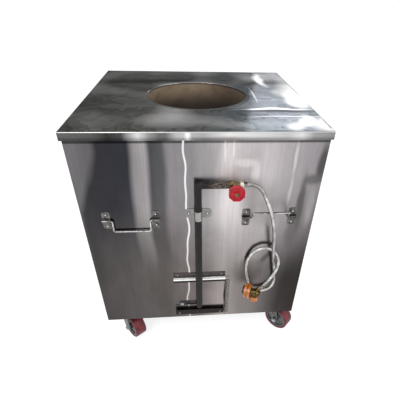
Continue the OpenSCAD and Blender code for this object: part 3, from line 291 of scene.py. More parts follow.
def wavy_sheet(name, high_bands, low_bands, across, middle, line_at=None, splay=0.0,
               sway_by=0.035, flashes=(), smudges=(), roughness=0.17):
    """Cold-rolled sheet whose tone runs in upright bands of painted reflection, in the direction
    across: high_bands near its top and low_bands near the floor. Flashes are painted highlights,
    painted dark reflections and a painted shadow, and smudges are places that hands have dulled."""
    made, tree, shader = start_material(name, Metallic=1.0)
    place = add(tree, "TexCoord").outputs["Object"]
    level = add(tree, "SeparateXYZ", {0: place}).outputs[2]
    flat = add(tree, "VectorMath", {0: place, 1: across}, operation="DOT_PRODUCT").outputs["Value"]

    # The bands sway a little, and those by one edge part on their way down.
    drawn = add(tree, "Mapping", {0: place, 3: (0.9, 0.9, 1.0)})
    bends = add(tree, "TexNoise", {"Vector": drawn.outputs[0], "Scale": 1 / sway_length, "Detail": 1.5})
    sway = add(tree, "MapRange", {0: bends.outputs[0], 1: noise_low, 2: noise_high,
                                  3: -sway_by, 4: sway_by})
    widened = add(tree, "MapRange", {0: level, 1: parting_heights[0], 2: parting_heights[1],
                                     3: 0.0, 4: splay})
    edge = add(tree, "MapRange", {0: flat, 1: middle - edge_zone[0], 2: middle - edge_zone[1],
                                  3: 1.0, 4: 0.0})
    parted = add(tree, "Math", {0: widened.outputs[0], 1: edge.outputs[0]}, operation="MULTIPLY")
    swayed = add(tree, "Math", {0: flat, 1: sway.outputs[0]})
    moved = add(tree, "Math", {0: swayed.outputs[0], 1: parted.outputs[0]})
    share = add(tree, "MapRange", {0: moved.outputs[0], 1: middle - sheet_half, 2: middle + sheet_half})
    high = add(tree, "ValToRGB", {0: share.outputs[0]}, stops=high_bands)
    low = add(tree, "ValToRGB", {0: share.outputs[0]}, stops=low_bands)
    up = add(tree, "MapRange", {0: level, 1: turning_heights[0], 2: turning_heights[1]},
             interpolation_type="SMOOTHSTEP")
    tone = add(tree, "Mix", {0: up.outputs[0], 6: low.outputs[0], 7: high.outputs[0]},
               data_type="RGBA").outputs[2]

    # The sheet has a painted shadow just under the cap.
    eaves = add(tree, "MapRange", {0: level, 1: shadow_heights[0], 2: shadow_heights[1],
                                   3: 1.0, 4: 0.3},
                interpolation_type="SMOOTHSTEP")
    tone = add(tree, "VectorMath", {0: tone, 3: eaves.outputs[0]}, operation="SCALE").outputs[0]

    # One thin painted highlight line winds down it, brighter towards the top.
    if line_at is not None:
        upright = add(tree, "Mapping", {0: place, 3: (0.0, 0.0, 1.0)})
        slim = add(tree, "TexNoise", {"Vector": upright.outputs[0], "Scale": 1 / line_bend, "Detail": 1.0})
        curve = add(tree, "MapRange", {0: slim.outputs[0], 1: noise_low, 2: noise_high,
                                       3: line_at - line_swing, 4: line_at + line_swing})
        off = add(tree, "Math", {0: flat, 1: curve.outputs[0]}, operation="SUBTRACT")
        near = add(tree, "Math", {0: off.outputs[0]}, operation="ABSOLUTE")
        bright = add(tree, "MapRange", {0: level, 1: 0.15, 2: 0.5, 3: 0.5, 4: 0.9})
        gleam = add(tree, "MapRange", {0: near.outputs[0], 1: line_half[0], 2: line_half[1],
                                       3: bright.outputs[0], 4: 0.0},
                    interpolation_type="SMOOTHSTEP")
        tone = add(tree, "Mix", {0: gleam.outputs[0], 6: tone, 7: linear("#eceaea")},
                   data_type="RGBA").outputs[2]

    # The painted flashes have ruffled edges.
    uneven = add(tree, "TexNoise", {"Vector": place, "Scale": 1 / flash_ripple, "Detail": 1.0})
    centred = add(tree, "VectorMath", {0: uneven.outputs[1], 1: (0.5, 0.5, 0.5)}, operation="SUBTRACT")
    ruffled = add(tree, "VectorMath", {0: centred.outputs[0], 1: flash_ruffle, 2: place},
                  operation="MULTIPLY_ADD").outputs[0]
    for (right, up), (wide, tall), tint, strength in flashes:
        apart = add(tree, "Mapping", {0: ruffled, 1: (right, front_y, up), 3: (wide, flash_depth, tall)},
                    vector_type="TEXTURE")
        far = add(tree, "VectorMath", {0: apart.outputs[0]}, operation="LENGTH").outputs["Value"]
        flash = add(tree, "MapRange", {0: far, 1: 0.4, 2: 1.4, 3: strength, 4: 0.0},
                    interpolation_type="SMOOTHSTEP")
        tone = add(tree, "Mix", {0: flash.outputs[0], 6: tone, 7: linear(tint)},
                   data_type="RGBA").outputs[2]

    # Dried stains and rolling lines run through tone and gloss.
    longer = add(tree, "Mapping", {0: place, 3: (1.0, 1.0, 0.45)})
    cloud = add(tree, "TexNoise", {"Vector": longer.outputs[0], "Scale": 1 / stain_size, "Detail": 4.0,
                                   "Distortion": 0.6})
    rolled = add(tree, "Mapping", {0: place, 3: (1.0, 1.0, 0.02)})
    streak = add(tree, "TexNoise", {"Vector": rolled.outputs[0], "Scale": 1 / rolling_lines,
                                    "Detail": 3.0})
    patchy = add(tree, "MapRange", {0: cloud.outputs[0], 1: noise_low, 2: noise_high, 3: 0.84, 4: 1.12})
    lined = add(tree, "MapRange", {0: streak.outputs[0], 1: noise_low, 2: noise_high, 3: 0.94, 4: 1.05})
    both = add(tree, "Math", {0: patchy.outputs[0], 1: lined.outputs[0]}, operation="MULTIPLY")
    colour = add(tree, "VectorMath", {0: tone, 3: both.outputs[0]}, operation="SCALE")
    gloss = add(tree, "MapRange", {0: cloud.outputs[0], 1: noise_low, 2: noise_high,
                                   3: roughness + 0.06, 4: roughness - 0.03})
    for (right, up), inner, outer in smudges:
        away = add(tree, "VectorMath", {0: place, 1: (right, front_y, up)}, operation="DISTANCE")
        smudge = add(tree, "MapRange", {0: away.outputs["Value"], 1: inner, 2: outer, 3: 0.34, 4: 0.0},
                     interpolation_type="SMOOTHSTEP")
        gloss = add(tree, "Math", {0: gloss.outputs[0], 1: smudge.outputs[0]})

    # Shallow dents bend what it reflects.
    ripple = add(tree, "TexNoise", {"Vector": place, "Scale": 1 / dent_size, "Detail": 2.0})
    dents = add(tree, "Bump", {"Height": ripple.outputs[0], "Distance": dent_depth, "Strength": 0.6})
    grain = add(tree, "Bump", {"Height": streak.outputs[0], "Distance": line_depth, "Strength": 0.5,
                               "Normal": dents.outputs[0]})
    tree.links.new(colour.outputs[0], shader.inputs["Base Color"])
    tree.links.new(gloss.outputs[0], shader.inputs["Roughness"])
    tree.links.new(grain.outputs[0], shader.inputs["Normal"])
    return made


# The front's painted reflection bands from left to right, near its top and near the floor.
front_high = [(0.0, "#6b696b"), (0.09, "#636163"), (0.115, "#333337"), (0.217, "#323339"),
              (0.24, "#8b8788"), (0.283, "#9e9a9b"), (0.302, "#4b4b4e"), (0.35, "#555457"),
              (0.372, "#858083"), (0.46, "#848284"), (0.54, "#a4a0a1"), (0.6, "#d6d0d1"),
              (0.78, "#bcb6b8"), (0.9, "#989396"), (1.0, "#7f7b7d")]
front_low = [(0.0, "#444343"), (0.12, "#494545"), (0.2, "#575352"), (0.27, "#595553"),
             (0.32, "#5a5553"), (0.38, "#68615f"), (0.43, "#736b6a"), (0.49, "#665f5f"),
             (0.54, "#7b7472"), (0.6, "#968f8e"), (0.7, "#867f7d"), (0.77, "#7d7675"),
             (0.84, "#605b5b"), (0.91, "#393433"), (1.0, "#2e2b29")]

# The light flashes are painted highlights and the dark ones painted reflections of dark
# things. Each has a place to the right and up, its half width and half height, a tint and a
# strength. The last one is a painted shadow along the door's edge.
flashes = [((0.066, 0.79), (0.0035, 0.03), "#f4f0f0", 0.55),
           ((0.083, 0.737), (0.005, 0.035), "#f0ecec", 0.35),
           ((0.089, 0.79), (0.0035, 0.028), "#f4f0f0", 0.6),
           ((0.122, 0.756), (0.033, 0.012), "#f0ecec", 0.6),
           ((0.154, 0.728), (0.012, 0.036), "#f0ecec", 0.55),
           ((0.26, 0.765), (0.0045, 0.045), "#e6e2e2", 0.45),
           ((0.261, 0.665), (0.005, 0.05), "#e2dede", 0.3),
           ((0.343, 0.75), (0.014, 0.06), "#454342", 0.9),
           ((0.326, 0.703), (0.028, 0.018), "#585655", 0.75),
           ((0.3, 0.62), (0.012, 0.1), "#4d4a4a", 0.8),
           ((0.288, 0.52), (0.024, 0.07), "#585454", 0.6),
           ((0.331, 0.6), (0.012, 0.07), "#a9a6a6", 0.45),
           ((0.0825, 0.235), (0.005, 0.066), "#262323", 0.92)]
smudges = [((0.11, 0.745), 0.05, 0.16), ((0.19, 0.625), 0.03, 0.11), ((0.155, 0.345), 0.03, 0.08)]
front_sheet = wavy_sheet("Cold-rolled stainless front", front_high, front_low, (1, 0, 0), 0.0,
                         line_at=-0.045, splay=0.072, sway_by=0.008, flashes=flashes,
                         smudges=smudges, roughness=0.22)
wear(front_sheet, "front_panel", "door_sheet")


# Side and rear panels: the same cold-rolled sheet, folded and welded to the front panel at the
# corners. Its painted reflection bands are wider and duller.
plain_high = [(0.0, "#8b898c"), (0.12, "#a3a0a2"), (0.2, "#5d5c60"), (0.3, "#6a686c"),
              (0.38, "#b1adae"), (0.5, "#9a9798"), (0.58, "#716e71"), (0.7, "#b8b4b5"),
              (0.82, "#8f8c8e"), (0.92, "#5b595c"), (1.0, "#7c797b")]
plain_low = [(0.0, "#5c595b"), (0.2, "#6c696a"), (0.32, "#514e50"), (0.5, "#7d797a"),
             (0.62, "#5f5c5d"), (0.75, "#827e7f"), (0.9, "#565354"), (1.0, "#615e5f")]
side_sheet = wavy_sheet("Cold-rolled stainless sides", plain_high, plain_low, (0, 1, 0), 0.03)
rear_sheet = wavy_sheet("Cold-rolled stainless rear", plain_high, plain_low, (-1, 0, 0), 0.0)
wear(side_sheet, "left_panel", "right_panel")
wear(rear_sheet, "rear_panel")


# Cap: one folded stainless sheet, with a round hole cut for the mouth and welded corners. It
# drops over the panels, and heat and water have left it dull, with dried stains and smears.
cap_low, cap_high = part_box("top_cap")
cap_middle = (cap_low + cap_high) / 2
cap_half = (cap_high.x - cap_low.x) / 2
mouth_radius = 0.165
mouth_sides = 96
cap_rings = 14
cap_sheet = 0.0012
cap_fold = 0.0022
cap_sag = 0.0004
cap_dent = 0.0007
cap_dents_per_metre = 7
hair = 0.0001
shortest_spoke = 0.1

shape = bmesh.new()
quarter = Matrix.Rotation(math.radians(45), 4, "Z")
bmesh.ops.create_circle(shape, segments=4, radius=cap_half * math.sqrt(2), matrix=quarter)
bmesh.ops.subdivide_edges(shape, edges=shape.edges[:], cuts=mouth_sides // 4 - 1)
bmesh.ops.create_circle(shape, segments=mouth_sides, radius=mouth_radius)
bmesh.ops.bridge_loops(shape, edges=shape.edges[:])
spokes = [e for e in shape.edges if abs(e.verts[0].co.length - e.verts[1].co.length) > shortest_spoke]
bmesh.ops.subdivide_edges(shape, edges=spokes, cuts=cap_rings)
limit = cap_half - hair
border = [e for e in shape.edges if all(max(abs(v.co.x), abs(v.co.y)) > limit for v in e.verts)]
drop = bmesh.ops.extrude_edge_only(shape, edges=border)["geom"]
lip = [g for g in drop if isinstance(g, bmesh.types.BMVert)]
bmesh.ops.translate(shape, vec=(0, 0, cap_low.z - cap_high.z), verts=lip)
folds = [e for e in shape.edges if len(e.link_faces) == 2 and e.calc_face_angle() > 1]
bmesh.ops.bevel(shape, geom=folds, offset=cap_fold, offset_type="OFFSET", segments=4, profile=0.5,
                affect="EDGES", clamp_overlap=True, material=-1)
bmesh.ops.translate(shape, vec=(cap_middle.x, cap_middle.y, cap_high.z), verts=shape.verts)
for vert in shape.verts:
    if vert.co.z > cap_high.z - hair:
        vert.co.z -= cap_sag + cap_dent * noise.noise(vert.co * cap_dents_per_metre)
for face in shape.faces:
    face.smooth = True
bmesh.ops.recalc_face_normals(shape, faces=shape.faces)
cap_mesh = bpy.data.meshes.new("folded_cap")
shape.to_mesh(cap_mesh)
shape.free()

# Stained stainless: a satin grey top, painted lighter and bluer towards the right as reflected
# light, with tide marks of dried water, a darker band behind the mouth, painted glints beside it,
# and an upright lip in painted reflection bands of light and dark.
tide_mark = 0.1429
wipe_mark = 0.1429
glint_ripple = 0.0909
cap_ripple = 0.111
top_sheet, tree, shader = start_material("Stained stainless cap", Metallic=1.0)
shader.inputs["Specular Tint"].default_value = linear("#9b9b9b")
place = add(tree, "TexCoord").outputs["Object"]
axes = add(tree, "SeparateXYZ", {0: place})
side, deep, level = axes.outputs[0], axes.outputs[1], axes.outputs[2]
flatten = (1.0, 1.0, 0.0)

drift = add(tree, "TexNoise", {"Vector": place, "Scale": 1 / tide_mark, "Detail": 5.0,
                               "Roughness": 0.55, "Distortion": 0.25})
dried = add(tree, "ValToRGB", {0: drift.outputs[0]},
            stops=[(0.36, "#e4e4e2"), (0.435, "#c6c6c4"), (0.442, "#ececea"),
                   (0.535, "#d2d2d0"), (0.545, "#f6f6f6"), (0.7, "#e2e2e2")])
wiping = add(tree, "Mapping", {0: place, 3: (0.5, 2.6, 1.0)})
smear = add(tree, "TexNoise", {"Vector": wiping.outputs[0], "Scale": 1 / wipe_mark, "Detail": 4.0})
wiped = add(tree, "MapRange", {0: smear.outputs[0], 1: noise_low, 2: noise_high, 3: 0.86, 4: 1.16})
sideways = add(tree, "MapRange", {0: side, 1: -0.356, 2: 0.356})
backwards = add(tree, "MapRange", {0: deep, 1: -0.33, 2: 0.385})
ground = add(tree, "ValToRGB", {0: sideways.outputs[0]},
             stops=[(0.0, "#767674"), (0.3, "#858583"), (0.5, "#868787"), (0.66, "#8c9196"),
                    (0.85, "#999ea6"), (1.0, "#8a8e94")])
rear_band = add(tree, "ValToRGB", {0: backwards.outputs[0]},
                stops=[(0.0, "#ffffff"), (0.45, "#f0f0f0"), (0.68, "#d8d8d8"), (0.73, "#8c8c8c"),
                       (0.78, "#9a9a9a"), (0.82, "#d6d6d6"), (1.0, "#c2c2c2")])
crown = add(tree, "Mix", {0: 1.0, 6: ground.outputs[0], 7: dried.outputs[0]},
            data_type="RGBA", blend_type="MULTIPLY")
crown = add(tree, "Mix", {0: 1.0, 6: crown.outputs[2], 7: rear_band.outputs[0]},
            data_type="RGBA", blend_type="MULTIPLY")
crown = add(tree, "VectorMath", {0: crown.outputs[2], 3: wiped.outputs[0]},
            operation="SCALE").outputs[0]

# Each painted glint, or painted shadow beside one, has a place to the right and back, its half
# width and half depth, and a tint.
cap_glints = [((0.331, -0.015), (0.034, 0.078), "#ffffff"), ((0.262, 0.27), (0.014, 0.1), "#f4f5f6"),
              ((0.25, -0.128), (0.13, 0.01), "#5a5c60"), ((0.24, -0.111), (0.1, 0.006), "#ffffff"),
              ((0.26, -0.176), (0.1, 0.004), "#d9dadc"), ((0.27, -0.26), (0.024, 0.03), "#c9cacc"),
              ((0.3, -0.225), (0.022, 0.03), "#d6d7d9"), ((0.318, -0.19), (0.018, 0.03), "#c9cacc"),
              ((0.2, 0.05), (0.004, 0.09), "#c8cacd")]
stirred = add(tree, "TexNoise", {"Vector": place, "Scale": 1 / glint_ripple, "Detail": 0.0})
ruffled = add(tree, "Mix", {0: 0.035, 4: place, 5: stirred.outputs[1]}, data_type="VECTOR").outputs[1]
for middle, reach, tint in cap_glints:
    apart = add(tree, "Mapping", {0: ruffled, 1: (*middle, 0.845), 3: (*reach, 1.0)},
                vector_type="TEXTURE")
    flat = add(tree, "VectorMath", {0: apart.outputs[0], 1: flatten}, operation="MULTIPLY")
    far = add(tree, "VectorMath", {0: flat.outputs[0]}, operation="LENGTH").outputs["Value"]
    glint = add(tree, "MapRange", {0: far, 1: 0.15, 2: 1.5, 3: 1.0, 4: 0.0},
                interpolation_type="SMOOTHSTEP")
    crown = add(tree, "Mix", {0: glint.outputs[0], 6: crown, 7: linear(tint)},
                data_type="RGBA").outputs[2]

# The hole's cut edge is painted dark, as shade.
level_place = add(tree, "VectorMath", {0: place, 1: flatten}, operation="MULTIPLY")
off = add(tree, "VectorMath", {0: level_place.outputs[0], 1: (cap_middle.x, cap_middle.y, 0.0)},
          operation="DISTANCE")
rim = add(tree, "MapRange", {0: off.outputs["Value"], 1: mouth_radius + 0.0004,
                             2: mouth_radius + 0.002, 3: 0.12, 4: 1.0})
crown = add(tree, "VectorMath", {0: crown, 3: rim.outputs[0]}, operation="SCALE").outputs[0]

# The lip has its own painted reflection bands, and the fold above it has a painted highlight, fainter
# towards the left.
lip_bands = add(tree, "ValToRGB", {0: sideways.outputs[0]},
                stops=[(0.0, "#646464"), (0.12, "#585858"), (0.17, "#373738"), (0.22, "#4a4a4b"),
                       (0.25, "#a8a8a8"), (0.275, "#d5d5d5"), (0.315, "#939393"), (0.35, "#6a6a6b"),
                       (0.375, "#6e6e6f"), (0.41, "#b4b4b4"), (0.438, "#c0c0c0"), (0.452, "#ffffff"),
                       (0.467, "#b0b0b0"), (0.51, "#a8a8a8"), (0.6, "#dedede"), (0.75, "#cccccc"),
                       (0.82, "#bebebe"), (0.872, "#d8d8d8"), (0.92, "#9c9c9c"), (1.0, "#8c8c8c")])
upright = add(tree, "MapRange", {0: level, 1: cap_high.z - 0.0035, 2: cap_high.z - 0.001})
colour = add(tree, "Mix", {0: upright.outputs[0], 6: lip_bands.outputs[0], 7: crown},
             data_type="RGBA")
painted_light = add(tree, "MapRange", {0: level, 1: cap_high.z - 0.003, 2: cap_high.z - 0.0018})
spared = add(tree, "MapRange", {0: level, 1: cap_high.z - 0.0012, 2: cap_high.z - 0.0004,
                                3: 1.0, 4: 0.0})
wear_and_painted_light = add(tree, "Math", {0: painted_light.outputs[0], 1: spared.outputs[0]}, operation="MULTIPLY")
painted_brightening = add(tree, "MapRange", {0: side, 1: -0.33, 2: -0.12, 3: 0.35, 4: 0.9})
painted_white_share = add(tree, "Math", {0: wear_and_painted_light.outputs[0], 1: painted_brightening.outputs[0]}, operation="MULTIPLY")
fold_highlighted = add(tree, "Mix", {0: painted_white_share.outputs[0], 6: colour.outputs[2], 7: linear("#f2f0f0")},
            data_type="RGBA")
gloss = add(tree, "MapRange", {0: drift.outputs[0], 1: 0.4, 2: 0.6, 3: 0.13, 4: 0.22})
dull = add(tree, "Mix", {0: upright.outputs[0], 2: 0.42, 3: gloss.outputs[0]})
waves = add(tree, "TexNoise", {"Vector": place, "Scale": 1 / cap_ripple, "Detail": 2.0})
dents = add(tree, "Bump", {"Height": waves.outputs[0], "Distance": 0.0014, "Strength": 0.5})
tree.links.new(fold_highlighted.outputs[2], shader.inputs["Base Color"])
tree.links.new(dull.outputs[0], shader.inputs["Roughness"])
tree.links.new(dents.outputs[0], shader.inputs["Normal"])

cap = link_object("folded_cap", cap_mesh, top_sheet, "cabinet")
thick = cap.modifiers.new("sheet", "SOLIDIFY")
thick.thickness = cap_sheet
thick.offset = -1
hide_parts("top_cap")


# Clay pot: built up by hand from clay and straw, then fired, with a pale gritty skin. It is
# darker towards the bottom and towards the right, and its brim is painted dark, as shade under
# the cap.
clay_blotch = 0.0625
clay_grit = 0.00238
clay, tree, shader = start_material("Fired pot clay", Roughness=0.88)
place = add(tree, "TexCoord").outputs["Object"]
axes = add(tree, "SeparateXYZ", {0: place})
side, level = axes.outputs[0], axes.outputs[2]
blotch = add(tree, "TexNoise", {"Vector": place, "Scale": 1 / clay_blotch, "Detail": 6.0,
                                "Roughness": 0.6})
grit = add(tree, "TexNoise", {"Vector": place, "Scale": 1 / clay_grit, "Detail": 3.0})
fired = add(tree, "ValToRGB", {0: blotch.outputs[0]},
            stops=[(0.3, "#957f68"), (0.5, "#b19b82"), (0.72, "#bfaa91")])
upper_share = add(tree, "MapRange", {0: level, 1: 0.745, 2: 0.84}, interpolation_type="SMOOTHSTEP")
clay_tone = add(tree, "Mix", {0: upper_share.outputs[0], 6: linear("#4e433a"), 7: fired.outputs[0]},
           data_type="RGBA")
right_dimming = add(tree, "MapRange", {0: side, 1: -0.03, 2: 0.14, 3: 1.0, 4: 0.4},
             interpolation_type="SMOOTHSTEP")
# Painted shade: the brim is dark under the cap's edge.
brim_shade = add(tree, "MapRange", {0: level, 1: 0.838, 2: 0.842, 3: 1.0, 4: 0.2})
dim = add(tree, "Math", {0: right_dimming.outputs[0], 1: brim_shade.outputs[0]}, operation="MULTIPLY")
clay_tone = add(tree, "VectorMath", {0: clay_tone.outputs[2], 3: dim.outputs[0]}, operation="SCALE")
rough = add(tree, "Bump", {"Height": grit.outputs[0], "Distance": 0.0012, "Strength": 0.6})
tree.links.new(clay_tone.outputs[0], shader.inputs["Base Color"])
tree.links.new(rough.outputs[0], shader.inputs["Normal"])
wear(clay, "clay_pot")


# Mineral fill: loose wool and sand, packed by hand between the pot and the panels to keep the
# heat in. It is a matt grey-yellow, in soft clumps.
wool_clump = 0.0167
fill, tree, shader = start_material("Mineral fill", Roughness=0.95)
place = add(tree, "TexCoord").outputs["Object"]
clump = add(tree, "TexNoise", {"Vector": place, "Scale": 1 / wool_clump, "Detail": 8.0})
wool = add(tree, "ValToRGB", {0: clump.outputs[0]}, stops=[(0.3, "#8e8668"), (0.7, "#c9c19c")])
fluff = add(tree, "Bump", {"Height": clump.outputs[0], "Distance": 0.006})
tree.links.new(wool.outputs[0], shader.inputs["Base Color"])
tree.links.new(fluff.outputs[0], shader.inputs["Normal"])
wear(fill, "insulation")


# Frame, tray, shelf, strap and burner: mild steel angle, plate and strap, cut and welded, and a
# burner of cast iron. All are dull and dark, in patches of scale, soot and brown dust.
scale_patch = 0.0286


def rolled_steel(name, dark, pale, rough):
    """Dull steel or iron in two tones, lightly pitted."""
    made, tree, shader = start_material(name, Metallic=0.7, Roughness=rough)
    place = add(tree, "TexCoord").outputs["Object"]
    scale = add(tree, "TexNoise", {"Vector": place, "Scale": 1 / scale_patch, "Detail": 6.0})
    tone = add(tree, "ValToRGB", {0: scale.outputs[0]}, stops=[(0.35, dark), (0.62, pale)])
    pits = add(tree, "Bump", {"Height": scale.outputs[0], "Distance": 0.0006})
    tree.links.new(tone.outputs[0], shader.inputs["Base Color"])
    tree.links.new(pits.outputs[0], shader.inputs["Normal"])
    return made


wear(rolled_steel("Mill-scale angle iron", "#3b3b3e", "#55555a", 0.5), "frame")
wear(rolled_steel("Dull steel plate", "#4f4e50", "#6d6c6d", 0.45), "base_tray", "pot_shelf")
wear(rolled_steel("Dark steel strap", "#2b2928", "#454140", 0.5), "burner_strap")
wear(rolled_steel("Grey cast iron", "#333233", "#4a4848", 0.6), "burner_head", "mixing_tube")


# Gas pipe: half-inch steel pipe, cut to mitres and welded at its corners, in black enamel. It
# is half glossy, and flaked down to brown steel where it meets the valve.
enamel_wear = 0.0143
enamel_flake = 0.00526
valve_joint = (0.055, -0.34, 0.696)
flaked_reach = (0.032, 0.03, 0.02)
enamel, tree, shader = start_material("Black pipe enamel", Specular_IOR_Level=0.22)
place = add(tree, "TexCoord").outputs["Object"]
wear_and_painted_light = add(tree, "TexNoise", {"Vector": place, "Scale": 1 / enamel_wear, "Detail": 5.0})
black = add(tree, "ValToRGB", {0: wear_and_painted_light.outputs[0]},
            stops=[(0.3, "#141211"), (0.55, "#1c1918"), (0.68, "#2a2624"), (0.78, "#433c38")])
joint = add(tree, "Mapping", {0: place, 1: valve_joint, 3: flaked_reach}, vector_type="TEXTURE")
away = add(tree, "VectorMath", {0: joint.outputs[0]}, operation="LENGTH")
near = add(tree, "MapRange", {0: away.outputs["Value"], 1: 0.6, 2: 1.2, 3: 0.75, 4: 0.0})
flakes = add(tree, "TexNoise", {"Vector": place, "Scale": 1 / enamel_flake, "Detail": 3.0})
flaked = add(tree, "MapRange", {0: flakes.outputs[0], 1: 0.42, 2: 0.6, 3: 0.0, 4: near.outputs[0]})
black = add(tree, "Mix", {0: flaked.outputs[0], 6: black.outputs[0], 7: linear("#7d6f66")},
            data_type="RGBA")
sheen = add(tree, "MapRange", {0: wear_and_painted_light.outputs[0], 1: noise_low, 2: noise_high, 3: 0.32, 4: 0.55})
orange_peel = add(tree, "Bump", {"Height": wear_and_painted_light.outputs[0], "Distance": 0.0004})
tree.links.new(black.outputs[2], shader.inputs["Base Color"])
tree.links.new(sheen.outputs[0], shader.inputs["Roughness"])
tree.links.new(orange_peel.outputs[0], shader.inputs["Normal"])
wear(enamel, "gas_pipe")


# Handles: bails of drawn stainless rod, bent to shape, in saddles of stainless strip that are
# pressed and riveted on. Both are rubbed bright in places, and the rod's upper side is painted
# dark, as shade.
# Their scratches are drawn about 1 mm wide, coarser than real, so that they show.
corners = ("front_left", "front_right", "rear_left", "rear_right")
scratch_width = 0.00111


def bright_metal(name, dark, pale, roughness, size, top_shade=1.0):
    """Handled bright metal in patches of two tones, with fine scratches. Its upward faces are
    painted darker, as shade, keeping the share top_shade of their tone."""
    made, tree, shader = start_material(name, Metallic=1.0)
    coords = add(tree, "TexCoord")
    place = coords.outputs["Object"]
    rub = add(tree, "TexNoise", {"Vector": place, "Scale": 1 / size, "Detail": 4.0})
    drawn = add(tree, "Mapping", {0: place, 3: (0.08, 1.0, 1.0)})
    scratch = add(tree, "TexNoise", {"Vector": drawn.outputs[0], "Scale": 1 / scratch_width,
                                     "Detail": 2.0})
    tone = add(tree, "ValToRGB", {0: rub.outputs[0]}, stops=[(0.32, dark), (0.66, pale)])
    gloss = add(tree, "MapRange", {0: rub.outputs[0], 1: noise_low, 2: noise_high,
                                   3: roughness + 0.1, 4: roughness - 0.05})
    lines = add(tree, "Bump", {"Height": scratch.outputs[0], "Distance": 0.00004})
    upward = add(tree, "SeparateXYZ", {0: coords.outputs["Normal"]}).outputs[2]
    painted_top_shade = add(tree, "MapRange", {0: upward, 1: 0.45, 2: 0.8, 3: 1.0, 4: top_shade},
                  interpolation_type="SMOOTHSTEP")
    tone = add(tree, "VectorMath", {0: tone.outputs[0], 3: painted_top_shade.outputs[0]}, operation="SCALE")
    tree.links.new(tone.outputs[0], shader.inputs["Base Color"])
    tree.links.new(gloss.outputs[0], shader.inputs["Roughness"])
    tree.links.new(lines.outputs[0], shader.inputs["Normal"])
    return made


strip = bright_metal("Bent stainless strip", "#3d3b3a", "#777574", 0.26, 0.012)
wear(strip, "handle_saddles")
rod = bright_metal("Drawn stainless rod", "#7d7a79", "#cfcccb", 0.18, 0.012, top_shade=0.12)
wear(rod, *["bail_" + corner for corner in corners])


# Rivets: aluminium, set by hand through clamp, saddles, rails, door and panel. Each head has a
# painted highlight on its flat faces, and its rounded edge is painted dark, as shade. Dirt
# mottles both.
rivet_dirt = 0.00333


def set_rivet(name, flat_from):
    """Aluminium rivet, with a painted highlight on the faces that look forwards or backwards and painted
    shade on the rest.
    """
    made, tree, shader = start_material(name, Metallic=1.0, Roughness=0.3)
    coords = add(tree, "TexCoord")
    facing = add(tree, "VectorMath", {0: coords.outputs["Normal"], 1: (0.0, 1.0, 0.0)},
                 operation="DOT_PRODUCT")
    outward = add(tree, "Math", {0: facing.outputs["Value"]}, operation="ABSOLUTE")
    painted_highlight_faces = add(tree, "MapRange", {0: outward.outputs[0], 1: flat_from, 2: flat_from + 0.05})
    dirt = add(tree, "TexNoise", {"Vector": coords.outputs["Object"], "Scale": 1 / rivet_dirt,
                                  "Detail": 2.0})
    shade = add(tree, "MapRange", {0: dirt.outputs[0], 1: noise_low, 2: noise_high, 3: 0.8, 4: 1.1})
    tone = add(tree, "Mix", {0: painted_highlight_faces.outputs[0], 6: linear("#5c5958"), 7: linear("#e4e2e1")},
               data_type="RGBA")
    colour = add(tree, "VectorMath", {0: tone.outputs[2], 3: shade.outputs[0]}, operation="SCALE")
    tree.links.new(colour.outputs[0], shader.inputs["Base Color"])
    return made


wear(set_rivet("Aluminium rivet, wide painted highlight", 0.9), "clamp_rivets", "handle_rivets")
wear(set_rivet("Aluminium rivet, small painted highlight", 0.945), "rail_rivets", "door_rivets")


# Bolts, ferrules and castor steel: zinc-plated bolts and axles with a pale grey bloom, plain
# steel ferrules crimped on the hose, and castor plates and forks pressed from dark plate.
zinc = bright_metal("Zinc-plated steel", "#8b8e92", "#b7babd", 0.3, 0.01)
wear(zinc, "strap_bolt", "castor_bolts", *["axle_" + corner for corner in corners])
# The ferrules' upper sides are painted darker, as shade.
crimped = bright_metal("Crimped steel ferrule", "#565250", "#a5a09b", 0.28, 0.006, top_shade=0.3)
wear(crimped, "hose_ferrules")
pressed = bright_metal("Pressed castor steel", "#494c4c", "#757877", 0.36, 0.015)
wear(pressed, "castor_plates", *["fork_" + corner for corner in corners])


# Rails, pull and clamp: strips of the same sheet, folded in a hand press and riveted on. The
# upper rail's outer part is painted white as a highlight, its faces turned to the panel are
# painted pale as light, and the rest of the rails is dark, dull and greasy.
grease_smear = 0.0167
rail_depth = 0.012
upper_rail_height = 0.0262


